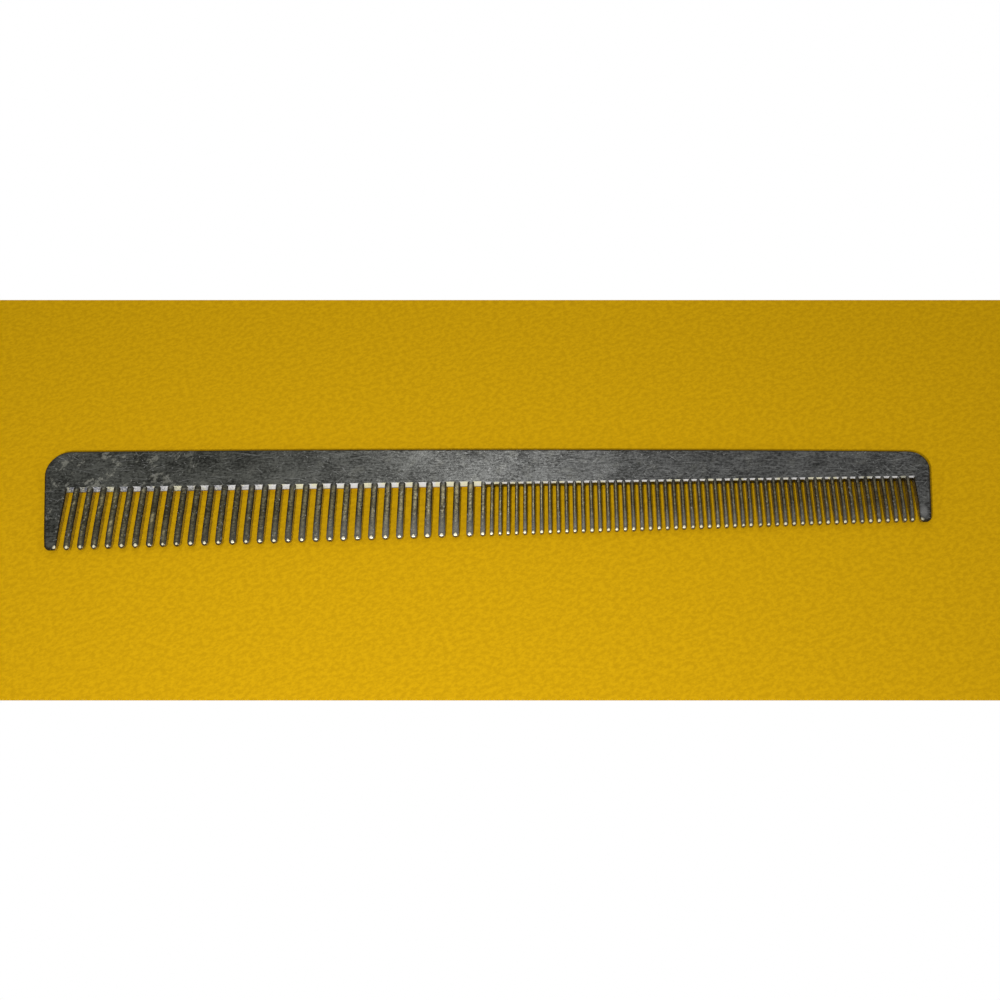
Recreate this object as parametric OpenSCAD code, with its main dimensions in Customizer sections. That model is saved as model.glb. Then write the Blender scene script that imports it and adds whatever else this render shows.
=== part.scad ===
// A pocket comb of worn aluminium plate, lying flat, with coarse and fine teeth.
// X runs along the comb from its coarse end to its fine end, Y from the tooth tips
// to the back, and Z up through the plate. The origin is under the middle of the comb.

/* [Plate] */
// Overall length, end to end
comb_l = 178; // [160:1:200]
// Thickness of the plate
plate_t = 2; // [1.7:0.1:3]
// Radius along the outer edges of the plate
edge_r = 0.5; // [0.3:0.05:0.7]

/* [Back] */
// Height at the coarse end, from the tooth tips to the back
coarse_h = 23.1; // [20:0.1:27]
// Height at the fine end, from the tooth tips to the back
fine_h = 15.9; // [13:0.1:19]
// Height of the solid back over the slots, at the coarse end
coarse_back_h = 9.2; // [7.5:0.1:11]
// Height of the solid back over the slots, at the fine end
fine_back_h = 6; // [5:0.1:8]
// How far the back bows up between its two ends
crown_h = 0.5; // [0.3:0.05:1.5]
// Radius of the corner of the back at the coarse end, seen from above
coarse_corner_r = 5; // [3.5:0.25:7]
// Radius of the corner of the back at the fine end, seen from above
fine_corner_r = 3.75; // [3:0.25:5.5]

/* [Ends] */
// Lean of the coarse end towards the tips, in degrees
coarse_end_lean = 9.8; // [4:0.2:11]
// Lean of the fine end towards the tips, in degrees
fine_end_lean = 6.6; // [3:0.2:9]
// Width of the coarse guard beside the first slot
coarse_guard_w = 5.27; // [4.5:0.05:7]
// Least width of the fine guard beside the last slot
fine_guard_w = 2.9; // [2.4:0.05:4.5]
// Radius of the guards' outer corners at their tips, seen from above
guard_outer_r = 1.1; // [0.6:0.05:1.3]
// Radius of the guards' inner corners at their tips, seen from above
guard_inner_r = 0.6; // [0.3:0.05:0.8]

/* [Coarse teeth] */
// Number of coarse slots
coarse_slots = 31; // [20:1:32]
// Distance from one coarse tooth to the next
coarse_pitch = 2.76; // [2.4:0.01:3]
// Width of a coarse slot
coarse_slot_w = 1.4; // [1.1:0.01:1.7]
// How far the bevelled ridge at the root of a coarse slot stands out
coarse_ridge = 0.65; // [0.4:0.05:0.9]
// Height of the narrow flat along that ridge
coarse_ridge_flat = 0.1; // [0.05:0.05:0.4]

/* [Fine teeth] */
// Distance from one fine tooth to the next
fine_pitch = 1.64; // [1.5:0.01:2]
// Width of a fine slot
fine_slot_w = 0.94; // [0.8:0.01:1.1]
// How much shallower the fine slots are than the coarse ones
fine_root_step = 0.27; // [0.1:0.01:0.5]
// How far the bevelled ridge at the root of a fine slot stands out
fine_ridge = 0.3; // [0.2:0.05:0.5]
// Height of the flat along that ridge
fine_ridge_flat = 1.1; // [0.6:0.1:1.3]
// Width of the tooth between the coarse slots and the fine ones
middle_tooth_w = 0.94; // [0.7:0.01:1.4]

/* [Tooth shape] */
// Radius along the edges of the coarse teeth
coarse_edge_r = 0.3; // [0.15:0.01:0.4]
// Radius along the edges of the fine teeth and the middle tooth
fine_edge_r = 0.2; // [0.1:0.01:0.22]
// Slope of the two flats that thin each tooth towards its tip, in degrees
tip_lean = 10; // [6:1:18]
// Radius of the nose of each tooth, seen from the side
nose_r = 0.5; // [0.35:0.05:0.7]

/* [Hidden] */
metal = [0.42, 0.42, 0.40];
// Circles are drawn with this many sides
$fn = 48;
// The long shallow bow of the back is drawn as this many arcs, end to end
bow_arcs = 8;
// How far the middle of the plate reaches into the strips around it
core_reach = 0.5;
// How far each arc runs on into the next one, in degrees
arc_lap_a = 0.02;
// How far a round corner stands proud of the straight stretches beside it, and how far the
// corners of the back run into them, in degrees
corner_proud = 0.02;
corner_lap_a = 12;
// How far a ridge reaches into the back, stays below its faces and stays clear of the teeth
ridge_sink = 0.5;
ridge_drop = 0.04;
ridge_clear = 0.01;
// How far a cutting shape runs past what it cuts
over = 1;

half_l = comb_l / 2;
// The bow of the back is one arc through its middle and its two ends
bow_r = (half_l ^ 2 + crown_h ^ 2) / (2 * crown_h);
// The two corners of the back: where they meet the bow, in degrees from its middle, and their
// centres
function corner_turn(r) = asin((half_l - r) / (bow_r - r));
function corner_centre(r, side) =
    [side * (half_l - r), (bow_r - r) * cos(corner_turn(r)) - bow_r];
coarse_turn = corner_turn(coarse_corner_r);
fine_turn = corner_turn(fine_corner_r);
coarse_c = corner_centre(coarse_corner_r, -1);
fine_c = corner_centre(fine_corner_r, 1);
// Width of the bowed strip along the back
bow_w = max(coarse_corner_r, fine_corner_r);

// Edges of the slots along the comb
first_slot_x = -half_l + coarse_guard_w;
middle_x = first_slot_x + (coarse_slots - 1) * coarse_pitch + coarse_slot_w;
first_fine_x = middle_x + middle_tooth_w;
fine_room = half_l - fine_guard_w - first_fine_x - fine_slot_w;
fine_slots = floor(fine_room / fine_pitch) + 1;
last_slot_x = first_fine_x + (fine_slots - 1) * fine_pitch + fine_slot_w;
coarse_tooth_w = coarse_pitch - coarse_slot_w;
fine_tooth_w = fine_pitch - fine_slot_w;

// Heights along the comb, below the highest point of the back
function along(x) = (x + half_l) / comb_l;
function root_y(x) = -coarse_back_h + (coarse_back_h - fine_back_h) * along(x);
function fine_root_y(x) = root_y(x) - fine_root_step;
function tip_y(x) = -coarse_h + (coarse_h - fine_h) * along(x);

// The sloping end of the plate at a height, on the coarse side and on the fine side
function coarse_end_x(y) =
    coarse_c.x - coarse_corner_r / cos(coarse_end_lean) + (coarse_c.y - y) * tan(coarse_end_lean);
function fine_end_x(y) =
    fine_c.x + fine_corner_r / cos(fine_end_lean) - (fine_c.y - y) * tan(fine_end_lean);

// The coarse guard reaches lowest, so it sets where the middle of the comb is
coarse_guard_tip_y = tip_y(first_slot_x);
fine_guard_tip_y = tip_y(last_slot_x);
middle_y = coarse_guard_tip_y / 2;

// Length of the thinned part of a tooth, from where it starts to the centre of its nose
thin_l = (plate_t / 2 - nose_r / cos(tip_lean)) / tan(tip_lean);

// Section of the plate from a line inside it out to its rounded edge
module edge_section(w) {
    square([w - edge_r, plate_t]);
    translate([0, edge_r])
        square([w, plate_t - 2 * edge_r]);
    for (z = [edge_r, plate_t - edge_r])
        translate([w - edge_r, z])
            circle(r = edge_r);
}

// Rounded stretch of the plate that turns about a corner of the back. It stands a hair
// proud of the stretches on its two sides and starts inside them, so that they cross
module corner(centre, r, from_a, to_a) {
    translate(centre)
        rotate_extrude(angle = to_a - from_a + 2 * corner_lap_a, start = from_a - corner_lap_a)
            edge_section(r + corner_proud);
}

// Straight stretch of the plate along a leaning end, from its corner past the tips
module end_strip(centre, r, out_a, side) {
    translate(centre)
        rotate([0, 0, out_a])
            translate([0, side > 0 ? 0 : coarse_h, 0])
                rotate([90, 0, 0])
                    linear_extrude(height = coarse_h)
                        edge_section(r);
}

// Long bowed stretch of the plate between the two corners
module bow_strip() {
    arc_a = (coarse_turn + fine_turn) / bow_arcs;
    translate([0, -bow_r, 0])
        for (i = [0 : bow_arcs - 1])
            rotate_extrude(
                angle = i < bow_arcs - 1 ? arc_a + arc_lap_a : arc_a,
                start = 90 - fine_turn + i * arc_a
            )
                translate([bow_r - bow_w, 0])
                    edge_section(bow_w);
}

// Outline of the middle of the plate, which reaches a little into the strips around it
module blank_core() {
    coarse_out = [-cos(coarse_end_lean), -sin(coarse_end_lean)];
    coarse_down = [sin(coarse_end_lean), -cos(coarse_end_lean)];
    fine_out = [cos(fine_end_lean), -sin(fine_end_lean)];
    fine_down = [-sin(fine_end_lean), -cos(fine_end_lean)];
    coarse_top = coarse_c + core_reach * coarse_out;
    fine_top = fine_c + core_reach * fine_out;
    polygon([
        [0, core_reach - bow_w], coarse_c + [0, core_reach],
        coarse_top, coarse_top + coarse_h * coarse_down,
        fine_top + coarse_h * fine_down, fine_top,
        fine_c + [0, core_reach]
    ]);
}

// The plate before its slots are cut, with all its outer edges rounded
module blank() {
    bow_strip();
    coarse_end();
    fine_end();
    plate_core();
}

// The flat middle of the plate, at its full thickness
module plate_core() {
    linear_extrude(height = plate_t)
        blank_core();
}

// Rounded corner and leaning side of the plate at the coarse end
module coarse_end() {
    corner(coarse_c, coarse_corner_r, 90 + coarse_turn, 180 + coarse_end_lean);
    end_strip(coarse_c, coarse_corner_r, 180 + coarse_end_lean, -1);
}

// Rounded corner and leaning side of the plate at the fine end
module fine_end() {
    corner(fine_c, fine_corner_r, -fine_end_lean, 90 - fine_turn);
    end_strip(fine_c, fine_corner_r, -fine_end_lean, 1);
}

// Upright prism over an outline, reaching past both faces of the plate
module through_plate() {
    translate([0, 0, -over])
        linear_extrude(height = plate_t + 2 * over)
            children();
}

// Side view of a tooth that ends at this height: level, then thinned, then a round nose
module thinned_to(end_y, left_x, right_x) {
    nose_y = end_y + nose_r;
    nose_half = nose_r / cos(tip_lean);
    mid_z = plate_t / 2;
    translate([left_x, 0, 0])
        rotate([90, 0, 90])
            linear_extrude(height = right_x - left_x) {
                polygon([
                    [over, 0], [over, plate_t], [nose_y + thin_l, plate_t],
                    [nose_y, mid_z + nose_half], [nose_y, mid_z - nose_half], [nose_y + thin_l, 0]
                ]);
                translate([nose_y, mid_z])
                    circle(r = nose_r);
            }
}

// One tooth of a width and edge radius, hanging from the back at its left and right sides
module tooth(x, w, round_r, left_root, right_root) {
    end_y = tip_y(x + w / 2);
    intersection() {
        through_plate() {
            polygon([
                [x, left_root], [x, end_y + w / 2], [x + w, end_y + w / 2], [x + w, right_root]
            ]);
            translate([x + w / 2, end_y + w / 2])
                circle(r = w / 2);
        }
        thinned_to(end_y, x - over, x + w + over);
        translate([x, 0, 0])
            rotate([90, 0, 0])
                linear_extrude(height = coarse_h + over)
                    bar_section(w, round_r);
    }
}

// Cross-section of a tooth, with its four long edges rounded
module bar_section(w, round_r) {
    translate([round_r, 0])
        square([w - 2 * round_r, plate_t]);
    translate([0, round_r])
        square([w, plate_t - 2 * round_r]);
    for (x = [round_r, w - round_r], z = [round_r, plate_t - round_r])
        translate([x, z])
            circle(r = round_r);
}

// Ridge across a slot with its root at these heights: bevelled above and below, with a flat
// between the bevels
module root_ridge(x, w, root_heights, out, flat) {
    y = max(root_heights);
    low_z = (plate_t - flat) / 2;
    high_z = (plate_t + flat) / 2;
    translate([x + ridge_clear, 0, 0])
        rotate([90, 0, 90])
            linear_extrude(height = w - 2 * ridge_clear)
                polygon([
                    [y + ridge_sink, ridge_drop], [y + ridge_sink, plate_t - ridge_drop],
                    [y, plate_t - ridge_drop], [y - out, high_z], [y - out, low_z],
                    [y, ridge_drop]
                ]);
}

// The solid back that carries the teeth, with a ridge at the root of each slot
module back() {
    color(metal)
        translate([0, -middle_y, 0]) {
            intersection() {
                blank();
                through_plate()
                    polygon([
                        [-comb_l, over], [-comb_l, root_y(-comb_l)],
                        [first_fine_x, root_y(first_fine_x)],
                        [first_fine_x, fine_root_y(first_fine_x)],
                        [comb_l, fine_root_y(comb_l)], [comb_l, over]
                    ]);
            }
            for (i = [0 : coarse_slots - 1]) {
                x = first_slot_x + i * coarse_pitch;
                roots = [root_y(x), root_y(x + coarse_slot_w)];
                root_ridge(x, coarse_slot_w, roots, coarse_ridge, coarse_ridge_flat);
            }
            for (i = [0 : fine_slots - 1]) {
                x = first_fine_x + i * fine_pitch;
                roots = [fine_root_y(x), fine_root_y(x + fine_slot_w)];
                root_ridge(x, fine_slot_w, roots, fine_ridge, fine_ridge_flat);
            }
        }
}

// The wide tooth that guards the coarse end
module coarse_guard() {
    end_y = coarse_guard_tip_y;
    outer_y = end_y + guard_outer_r;
    inner_y = end_y + guard_inner_r;
    left_c = coarse_end_x(outer_y) + (guard_outer_r - corner_proud) / cos(coarse_end_lean);
    right_c = first_slot_x - guard_inner_r;
    color(metal)
        translate([0, -middle_y, 0])
            intersection() {
                union() {
                    coarse_end();
                    plate_core();
                }
                through_plate() {
                    polygon([
                        [-comb_l, root_y(-comb_l)], [-comb_l, outer_y], [left_c, outer_y],
                        [left_c, end_y], [right_c, end_y], [first_slot_x, inner_y],
                        [first_slot_x, root_y(first_slot_x)]
                    ]);
                    translate([left_c, outer_y])
                        circle(r = guard_outer_r);
                    translate([right_c, inner_y])
                        circle(r = guard_inner_r);
                }
                thinned_to(end_y, -half_l - over, first_slot_x + over);
            }
}

// The wide tooth that guards the fine end
module fine_guard() {
    end_y = fine_guard_tip_y;
    outer_y = end_y + guard_outer_r;
    inner_y = end_y + guard_inner_r;
    left_c = last_slot_x + guard_inner_r;
    right_c = fine_end_x(outer_y) - (guard_outer_r - corner_proud) / cos(fine_end_lean);
    color(metal)
        translate([0, -middle_y, 0])
            intersection() {
                union() {
                    fine_end();
                    plate_core();
                }
                through_plate() {
                    polygon([
                        [last_slot_x, fine_root_y(last_slot_x)], [last_slot_x, inner_y],
                        [left_c, end_y], [right_c, end_y], [right_c, outer_y],
                        [comb_l, outer_y], [comb_l, fine_root_y(comb_l)]
                    ]);
                    translate([left_c, inner_y])
                        circle(r = guard_inner_r);
                    translate([right_c, outer_y])
                        circle(r = guard_outer_r);
                }
                thinned_to(end_y, last_slot_x - over, half_l + over);
            }
}

// The row of coarse teeth, each hanging between two coarse slots
module coarse_teeth() {
    color(metal)
        translate([0, -middle_y, 0])
            for (i = [0 : coarse_slots - 2]) {
                x = first_slot_x + coarse_slot_w + i * coarse_pitch;
                right_x = x + coarse_tooth_w;
                tooth(x, coarse_tooth_w, coarse_edge_r, root_y(x), root_y(right_x));
            }
}

// The tooth with a coarse slot on one side and a fine slot on the other
module middle_tooth() {
    color(metal)
        translate([0, -middle_y, 0])
            tooth(
                middle_x, middle_tooth_w, fine_edge_r, root_y(middle_x), root_y(first_fine_x)
            );
}

// The row of fine teeth, each hanging between two fine slots
module fine_teeth() {
    color(metal)
        translate([0, -middle_y, 0])
            for (i = [0 : fine_slots - 2]) {
                x = first_fine_x + fine_slot_w + i * fine_pitch;
                right_x = x + fine_tooth_w;
                tooth(x, fine_tooth_w, fine_edge_r, fine_root_y(x), fine_root_y(right_x));
            }
}

back();
coarse_guard();
coarse_teeth();
middle_tooth();
fine_teeth();
fine_guard();
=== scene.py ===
"""Looks of a flat comb of worn aluminium: its meshes, finishes, light and camera.

Lengths of the comb are in millimetres, as on its drawing, and MM turns them into metres.
Plan coordinates run along the comb (x) and from the highest point of its back (y = 0) down
to the tooth tips (y < 0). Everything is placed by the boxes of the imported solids.
"""

import logging
import math
import random
from dataclasses import dataclass, field, replace
from enum import Enum
from functools import reduce

import bmesh
import bpy
from mathutils import Matrix, Vector


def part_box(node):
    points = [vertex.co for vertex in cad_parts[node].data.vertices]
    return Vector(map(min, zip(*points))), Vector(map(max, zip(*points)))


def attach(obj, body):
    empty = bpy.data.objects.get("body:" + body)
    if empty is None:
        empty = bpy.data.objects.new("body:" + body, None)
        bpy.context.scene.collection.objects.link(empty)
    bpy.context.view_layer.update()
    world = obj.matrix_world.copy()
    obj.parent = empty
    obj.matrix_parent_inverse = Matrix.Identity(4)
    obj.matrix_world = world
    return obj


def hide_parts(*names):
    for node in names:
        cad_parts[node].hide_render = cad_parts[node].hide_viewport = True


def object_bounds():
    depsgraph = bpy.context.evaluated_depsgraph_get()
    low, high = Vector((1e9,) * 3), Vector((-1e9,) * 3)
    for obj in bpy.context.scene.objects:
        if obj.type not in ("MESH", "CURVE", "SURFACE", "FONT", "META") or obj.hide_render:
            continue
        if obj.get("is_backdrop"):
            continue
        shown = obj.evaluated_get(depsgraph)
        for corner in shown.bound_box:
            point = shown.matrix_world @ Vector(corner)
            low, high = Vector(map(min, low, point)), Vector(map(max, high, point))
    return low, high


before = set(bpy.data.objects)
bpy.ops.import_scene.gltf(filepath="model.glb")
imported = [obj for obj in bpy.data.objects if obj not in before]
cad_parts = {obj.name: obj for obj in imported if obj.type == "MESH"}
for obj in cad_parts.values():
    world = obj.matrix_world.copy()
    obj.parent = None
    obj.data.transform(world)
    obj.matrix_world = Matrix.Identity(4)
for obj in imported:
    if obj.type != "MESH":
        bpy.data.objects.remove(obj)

MM = 0.001
log = logging.getLogger("comb")

WHITE = (1.0, 1.0, 1.0)

Point2 = tuple[float, float]
Point3 = tuple[float, float, float]
Socket = bpy.types.NodeSocket


class Face(Enum):
    """The finish that a face of a piece shows."""

    WORN = 0
    CUT = 1
    WALL = 2


class Mark(Enum):
    """What a point of a mesh tells its finish, as the name of a mesh attribute."""

    # SPOT places the painted highlight on a tooth's nose, EDGE carries the painted shade of rounded edges
    # and ridge crests, REACH places the tooth finish and its painted sheen.
    SPOT = "spot"
    REACH = "reach"
    EDGE = "edge"


def direction(start: Point2, end: Point2) -> Point2:
    """The unit vector from one plan place to another."""
    run = math.hypot(end[0] - start[0], end[1] - start[1])
    return ((end[0] - start[0]) / run, (end[1] - start[1]) / run)


def along_seam(seam: Point2, inward: Point2) -> Point2:
    """The step along a seam that lies one unit inwards from a side of the outline.

    Args:
        seam: Direction of the seam, into the metal.
        inward: Unit vector into the metal from the side that the seam meets.

    Returns:
        The step along the seam.
    """
    share = seam[0] * inward[0] + seam[1] * inward[1]
    return (seam[0] / share, seam[1] / share)


@dataclass(frozen=True)
class Station:
    """One point of an outline seen from above, with the rounding of its edge there.

    Args:
        x: Place along the comb.
        y: Place across the comb.
        step: How the point moves for each unit that its outline shrinks.
        radius: Radius of the rounded edge there.
    """

    x: float
    y: float
    step: Point2
    radius: float

    def inside(self, inset: float) -> Point2:
        """The place of the point when its outline has shrunk by an inset."""
        return self.x + self.step[0] * inset, self.y + self.step[1] * inset


@dataclass(frozen=True)
class Drawing:
    """The comb's drawing, in millimetres and radians, much as the solid model has it.

    Args:
        back_top: Height of the top of the back over the model's origin.
        half_length: Half the comb's length.
        thickness: Thickness of the plate.
        first_slot_x: Left side of the first coarse slot.
        last_slot_x: Right side of the last fine slot.
        middle_x: Left side of the middle tooth.
        first_fine_x: Left side of the first fine slot.
        coarse_tip_y: Height of the end of the coarse guard.
        fine_tip_y: Height of the end of the fine guard.
        coarse_back_height: Height of the back over the coarse slots, at the coarse end.
        fine_back_height: Height of the back at the fine end.
        fine_root_step: How much lower the fine slots' roots lie than the line of the coarse ones.
        crown: Rise of the bow of the back.
        coarse_corner_radius: Radius of the corner at the coarse end.
        fine_corner_radius: Radius of the corner at the fine end.
        coarse_lean: Lean of the coarse end.
        fine_lean: Lean of the fine end.
        coarse_slots: Number of coarse slots.
        fine_slots: Number of fine slots.
        coarse_slot_width: Width of a coarse slot.
        fine_slot_width: Width of a fine slot.
        edge_radius: Radius of the rounded edge round the outline.
        coarse_edge_radius: Radius of the edges along the coarse slots.
        fine_edge_radius: Radius of the edges along the fine slots.
        guard_outer_radius: Radius of a guard's outer lower corner, seen from above.
        guard_inner_radius: Radius of a guard's inner lower corner, seen from above.
        coarse_ridge: How far the bevelled ridge at a coarse slot's root stands out.
        coarse_ridge_flat: Height of the flat along that ridge.
        fine_ridge: How far the ridge at a fine slot's root stands out, a little less than in the solids.
        fine_ridge_flat: Height of the flat along that ridge, a little more than in the solids.
        tip_lean: How steeply the faces of a tooth close towards its end.
        nose_radius: Radius of the nose at the end of a tooth, seen from the side.
        thin_blend: How softly a tooth starts to thin.
    """

    back_top: float
    half_length: float
    thickness: float
    first_slot_x: float
    last_slot_x: float
    middle_x: float
    first_fine_x: float
    coarse_tip_y: float
    fine_tip_y: float
    coarse_back_height: float = 9.2
    fine_back_height: float = 6.0
    fine_root_step: float = 0.27
    crown: float = 0.5
    coarse_corner_radius: float = 5.0
    fine_corner_radius: float = 3.75
    coarse_lean: float = math.radians(9.8)
    fine_lean: float = math.radians(6.6)
    coarse_slots: int = 31
    fine_slots: int = 52
    coarse_slot_width: float = 1.4
    fine_slot_width: float = 0.94
    edge_radius: float = 0.5
    coarse_edge_radius: float = 0.3
    fine_edge_radius: float = 0.2
    guard_outer_radius: float = 1.1
    guard_inner_radius: float = 0.6
    coarse_ridge: float = 0.65
    coarse_ridge_flat: float = 0.1
    fine_ridge: float = 0.22
    fine_ridge_flat: float = 1.2
    tip_lean: float = math.radians(10)
    nose_radius: float = 0.5
    thin_blend: float = 0.3

    @classmethod
    def from_frame(cls) -> "Drawing":
        """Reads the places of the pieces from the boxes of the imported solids.

        Returns:
            The drawing.
        """
        low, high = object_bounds()
        guard_low, guard_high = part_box("coarse_guard")
        fine_low, fine_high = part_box("fine_guard")
        middle_low, middle_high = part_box("middle_tooth")
        return cls(
            back_top=high.y / MM,
            half_length=(high.x - low.x) / 2 / MM,
            thickness=(high.z - low.z) / MM,
            first_slot_x=guard_high.x / MM,
            last_slot_x=fine_low.x / MM,
            middle_x=middle_low.x / MM,
            first_fine_x=middle_high.x / MM,
            coarse_tip_y=(guard_low.y - high.y) / MM,
            fine_tip_y=(fine_low.y - high.y) / MM,
        )

    @property
    def bow_radius(self) -> float:
        """Radius of the long bow of the back."""
        return (self.half_length**2 + self.crown**2) / (2 * self.crown)

    def corner(self, side: int) -> tuple[float, float, float]:
        """Radius and centre of the corner of the back at the coarse end (-1) or the fine end (1).

        Args:
            side: -1 for the coarse end and 1 for the fine end.

        Returns:
            The radius, and the place of its centre along and across the comb.
        """
        radius = self.coarse_corner_radius if side < 0 else self.fine_corner_radius
        out = self.half_length - radius
        reach = self.bow_radius - radius
        return radius, side * out, math.sqrt(reach**2 - out**2) - self.bow_radius

    @property
    def coarse_pitch(self) -> float:
        """Distance from one coarse slot to the next."""
        run = self.middle_x - self.coarse_slot_width - self.first_slot_x
        return run / (self.coarse_slots - 1)

    @property
    def fine_pitch(self) -> float:
        """Distance from one fine slot to the next."""
        run = self.last_slot_x - self.fine_slot_width - self.first_fine_x
        return run / (self.fine_slots - 1)

    def root_y(self, x: float) -> float:
        """Height of the coarse slots' roots at a place along the comb."""
        share = (x + self.half_length) / (2 * self.half_length)
        return -self.coarse_back_height + share * (self.coarse_back_height - self.fine_back_height)

    def fine_root_y(self, x: float) -> float:
        """Height of the fine slots' roots at a place along the comb."""
        return self.root_y(x) - self.fine_root_step

    def tip_y(self, x: float) -> float:
        """Height of the line on which all the tips end, at a place along the comb."""
        share = (x - self.first_slot_x) / (self.last_slot_x - self.first_slot_x)
        return self.coarse_tip_y + share * (self.fine_tip_y - self.coarse_tip_y)

    def lean(self, side: int) -> float:
        """How far the coarse end (-1) or the fine end (1) leans inwards, from the back down."""
        return self.coarse_lean if side < 0 else self.fine_lean

    def inward(self, side: int) -> Point2:
        """The unit vector into the metal from the leaning coarse end (-1) or fine end (1)."""
        lean = self.lean(side)
        return (-side * math.cos(lean), math.sin(lean))

    def end_x(self, side: int, y: float) -> float:
        """Place of the leaning coarse end (-1) or fine end (1) at a height.

        Args:
            side: -1 for the coarse end and 1 for the fine end.
            y: Place across the comb.

        Returns:
            The place along the comb.
        """
        radius, centre_x, centre_y = self.corner(side)
        lean = self.lean(side)
        return centre_x + side * (radius / math.cos(lean) - (centre_y - y) * math.tan(lean))

    def slot_edge_radius(self, side: int) -> float:
        """Radius of the edges along the coarse slots (-1) or the fine slots (1)."""
        return self.coarse_edge_radius if side < 0 else self.fine_edge_radius

    def half_thickness(self, rise: float) -> float:
        """Half the thickness of a tooth at a distance from its end.

        Args:
            rise: Distance from the very end of the tooth.

        Returns:
            Half the thickness there, which is zero at the very end.
        """
        radius = self.nose_radius
        touch = radius * (1 + math.sin(self.tip_lean))
        if rise < touch:
            return math.sqrt(max(radius**2 - (rise - radius) ** 2, 0.0))
        flat = radius / math.cos(self.tip_lean) + (rise - radius) * math.tan(self.tip_lean)
        full = self.thickness / 2
        near = max(self.thin_blend - abs(flat - full), 0.0)
        return min(flat, full) - near**2 / (4 * self.thin_blend)


class Levels:
    """The heights and insets of the rings that go round the plate and its rounded edges."""

    def __init__(self, drawing: Drawing, segments: int = 5) -> None:
        """Spreads the rings over the lower edge, the wall and the upper edge.

        Args:
            drawing: The comb's drawing.
            segments: Number of steps round each rounded edge.
        """
        turns = [math.pi / 2 * k / segments for k in range(segments + 1)]
        self.half = drawing.thickness / 2
        self.bevel = drawing.fine_ridge_flat / 2
        self.rings: list[tuple[int, float | None]] = [(-1, turn) for turn in reversed(turns)]
        self.rings += [(-1, None), (0, None), (1, None)]
        self.rings += [(1, turn) for turn in turns]
        self.walls = range(segments, segments + 4)
        self.top = len(self.rings) - 1

    def inset(self, level: int, radius: float) -> float:
        """How far a ring lies inside the outline."""
        turn = self.rings[level][1]
        return 0.0 if turn is None else radius * (1 - math.cos(turn))

    def height(self, level: int, radius: float) -> float:
        """How high a ring lies above the lower face of the plate.

        Args:
            level: Number of the ring, from the lowest up.
            radius: Radius of the rounded edge.

        Returns:
            The height.
        """
        side, turn = self.rings[level]
        if turn is None:
            return self.half + side * self.bevel
        return self.half + side * (self.half - radius + radius * math.sin(turn))

    def edge(self, level: int) -> float:
        """How far a ring is round an edge: 1 on the wall, 0 on the flat faces."""
        turn = self.rings[level][1]
        return 1.0 if turn is None else math.cos(turn)

    def upper(self, level: int) -> bool:
        """Whether the faces above a ring lie on the upper half of the plate."""
        return self.rings[level][0] >= 0

    def side(self, level: int) -> Face:
        """The finish of a tooth's side between a ring and the next."""
        return Face.WALL if level in self.walls else Face.WORN


class MeshMaker:
    """Collects faces by their corner points and joins corners that are the same."""

    GRAIN = 1e-5
    WIDEST = 4

    def __init__(self, drawing: Drawing) -> None:
        """Starts with no face.

        Args:
            drawing: The comb's drawing.
        """
        self.drawing = drawing
        self.points: list[Point3] = []
        self.marks: list[dict[Mark, float]] = []
        self.faces: list[tuple[list[int], Face]] = []
        self.known: dict[tuple[int, int, int], int] = {}

    def point(self, place: Point3, marks: dict[Mark, float] | None = None) -> int:
        """The number of a corner point, which is made if it is new.

        Args:
            place: Its place in plan coordinates.
            marks: What it tells the finish.

        Returns:
            Its number.
        """
        key = tuple(round(c / self.GRAIN) for c in place)
        if key not in self.known:
            self.known[key] = len(self.points)
            self.points.append(place)
            self.marks.append(dict(marks or {}))
        return self.known[key]

    def face(self, corners: list[int], finish: Face = Face.WORN) -> None:
        """Adds a face, without the corners that repeat their neighbour.

        Args:
            corners: Numbers of its corner points, in order round it.
            finish: The finish that it shows.
        """
        clean = [c for c, before in zip(corners, corners[-1:] + corners[:-1]) if c != before]
        if len(set(clean)) > 2:
            self.faces.append((clean, finish))

    def build(self, name: str) -> bpy.types.Object:
        """Makes the object, with its normals outward and its marks as attributes.

        Args:
            name: Name of the piece.

        Returns:
            The new object.
        """
        rise = self.drawing.back_top
        mesh = bpy.data.meshes.new(name)
        places = [(x * MM, (y + rise) * MM, z * MM) for x, y, z in self.points]
        mesh.from_pydata(places, [], [corners for corners, _ in self.faces])
        for polygon, (_, finish) in zip(mesh.polygons, self.faces):
            polygon.material_index = finish.value
        for mark in Mark:
            layer = mesh.attributes.new(mark.value, "FLOAT", "POINT")
            layer.data.foreach_set("value", [told.get(mark, 0.0) for told in self.marks])
        work = bmesh.new()
        work.from_mesh(mesh)
        bmesh.ops.recalc_face_normals(work, faces=work.faces)
        wide = [face for face in work.faces if len(face.verts) > self.WIDEST]
        bmesh.ops.triangulate(work, faces=wide, quad_method="BEAUTY", ngon_method="BEAUTY")
        work.to_mesh(mesh)
        work.free()
        made = bpy.data.objects.new(name, mesh)
        bpy.context.scene.collection.objects.link(made)
        return made


def smooth(piece: bpy.types.Object, sharp_above: float = 40.0, weight: int = 80) -> None:
    """Shades a piece smooth, with flat faces kept flat and sharp corners kept sharp.

    Args:
        piece: The object.
        sharp_above: Angle between faces, in degrees, above which an edge stays sharp.
        weight: How much more large faces count in the shading than small ones.
    """
    piece.data.shade_smooth()
    piece.data.set_sharp_from_angle(angle=math.radians(sharp_above))
    even = piece.modifiers.new("even_shading", "WEIGHTED_NORMAL")
    even.weight = weight
    even.keep_sharp = True


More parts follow.
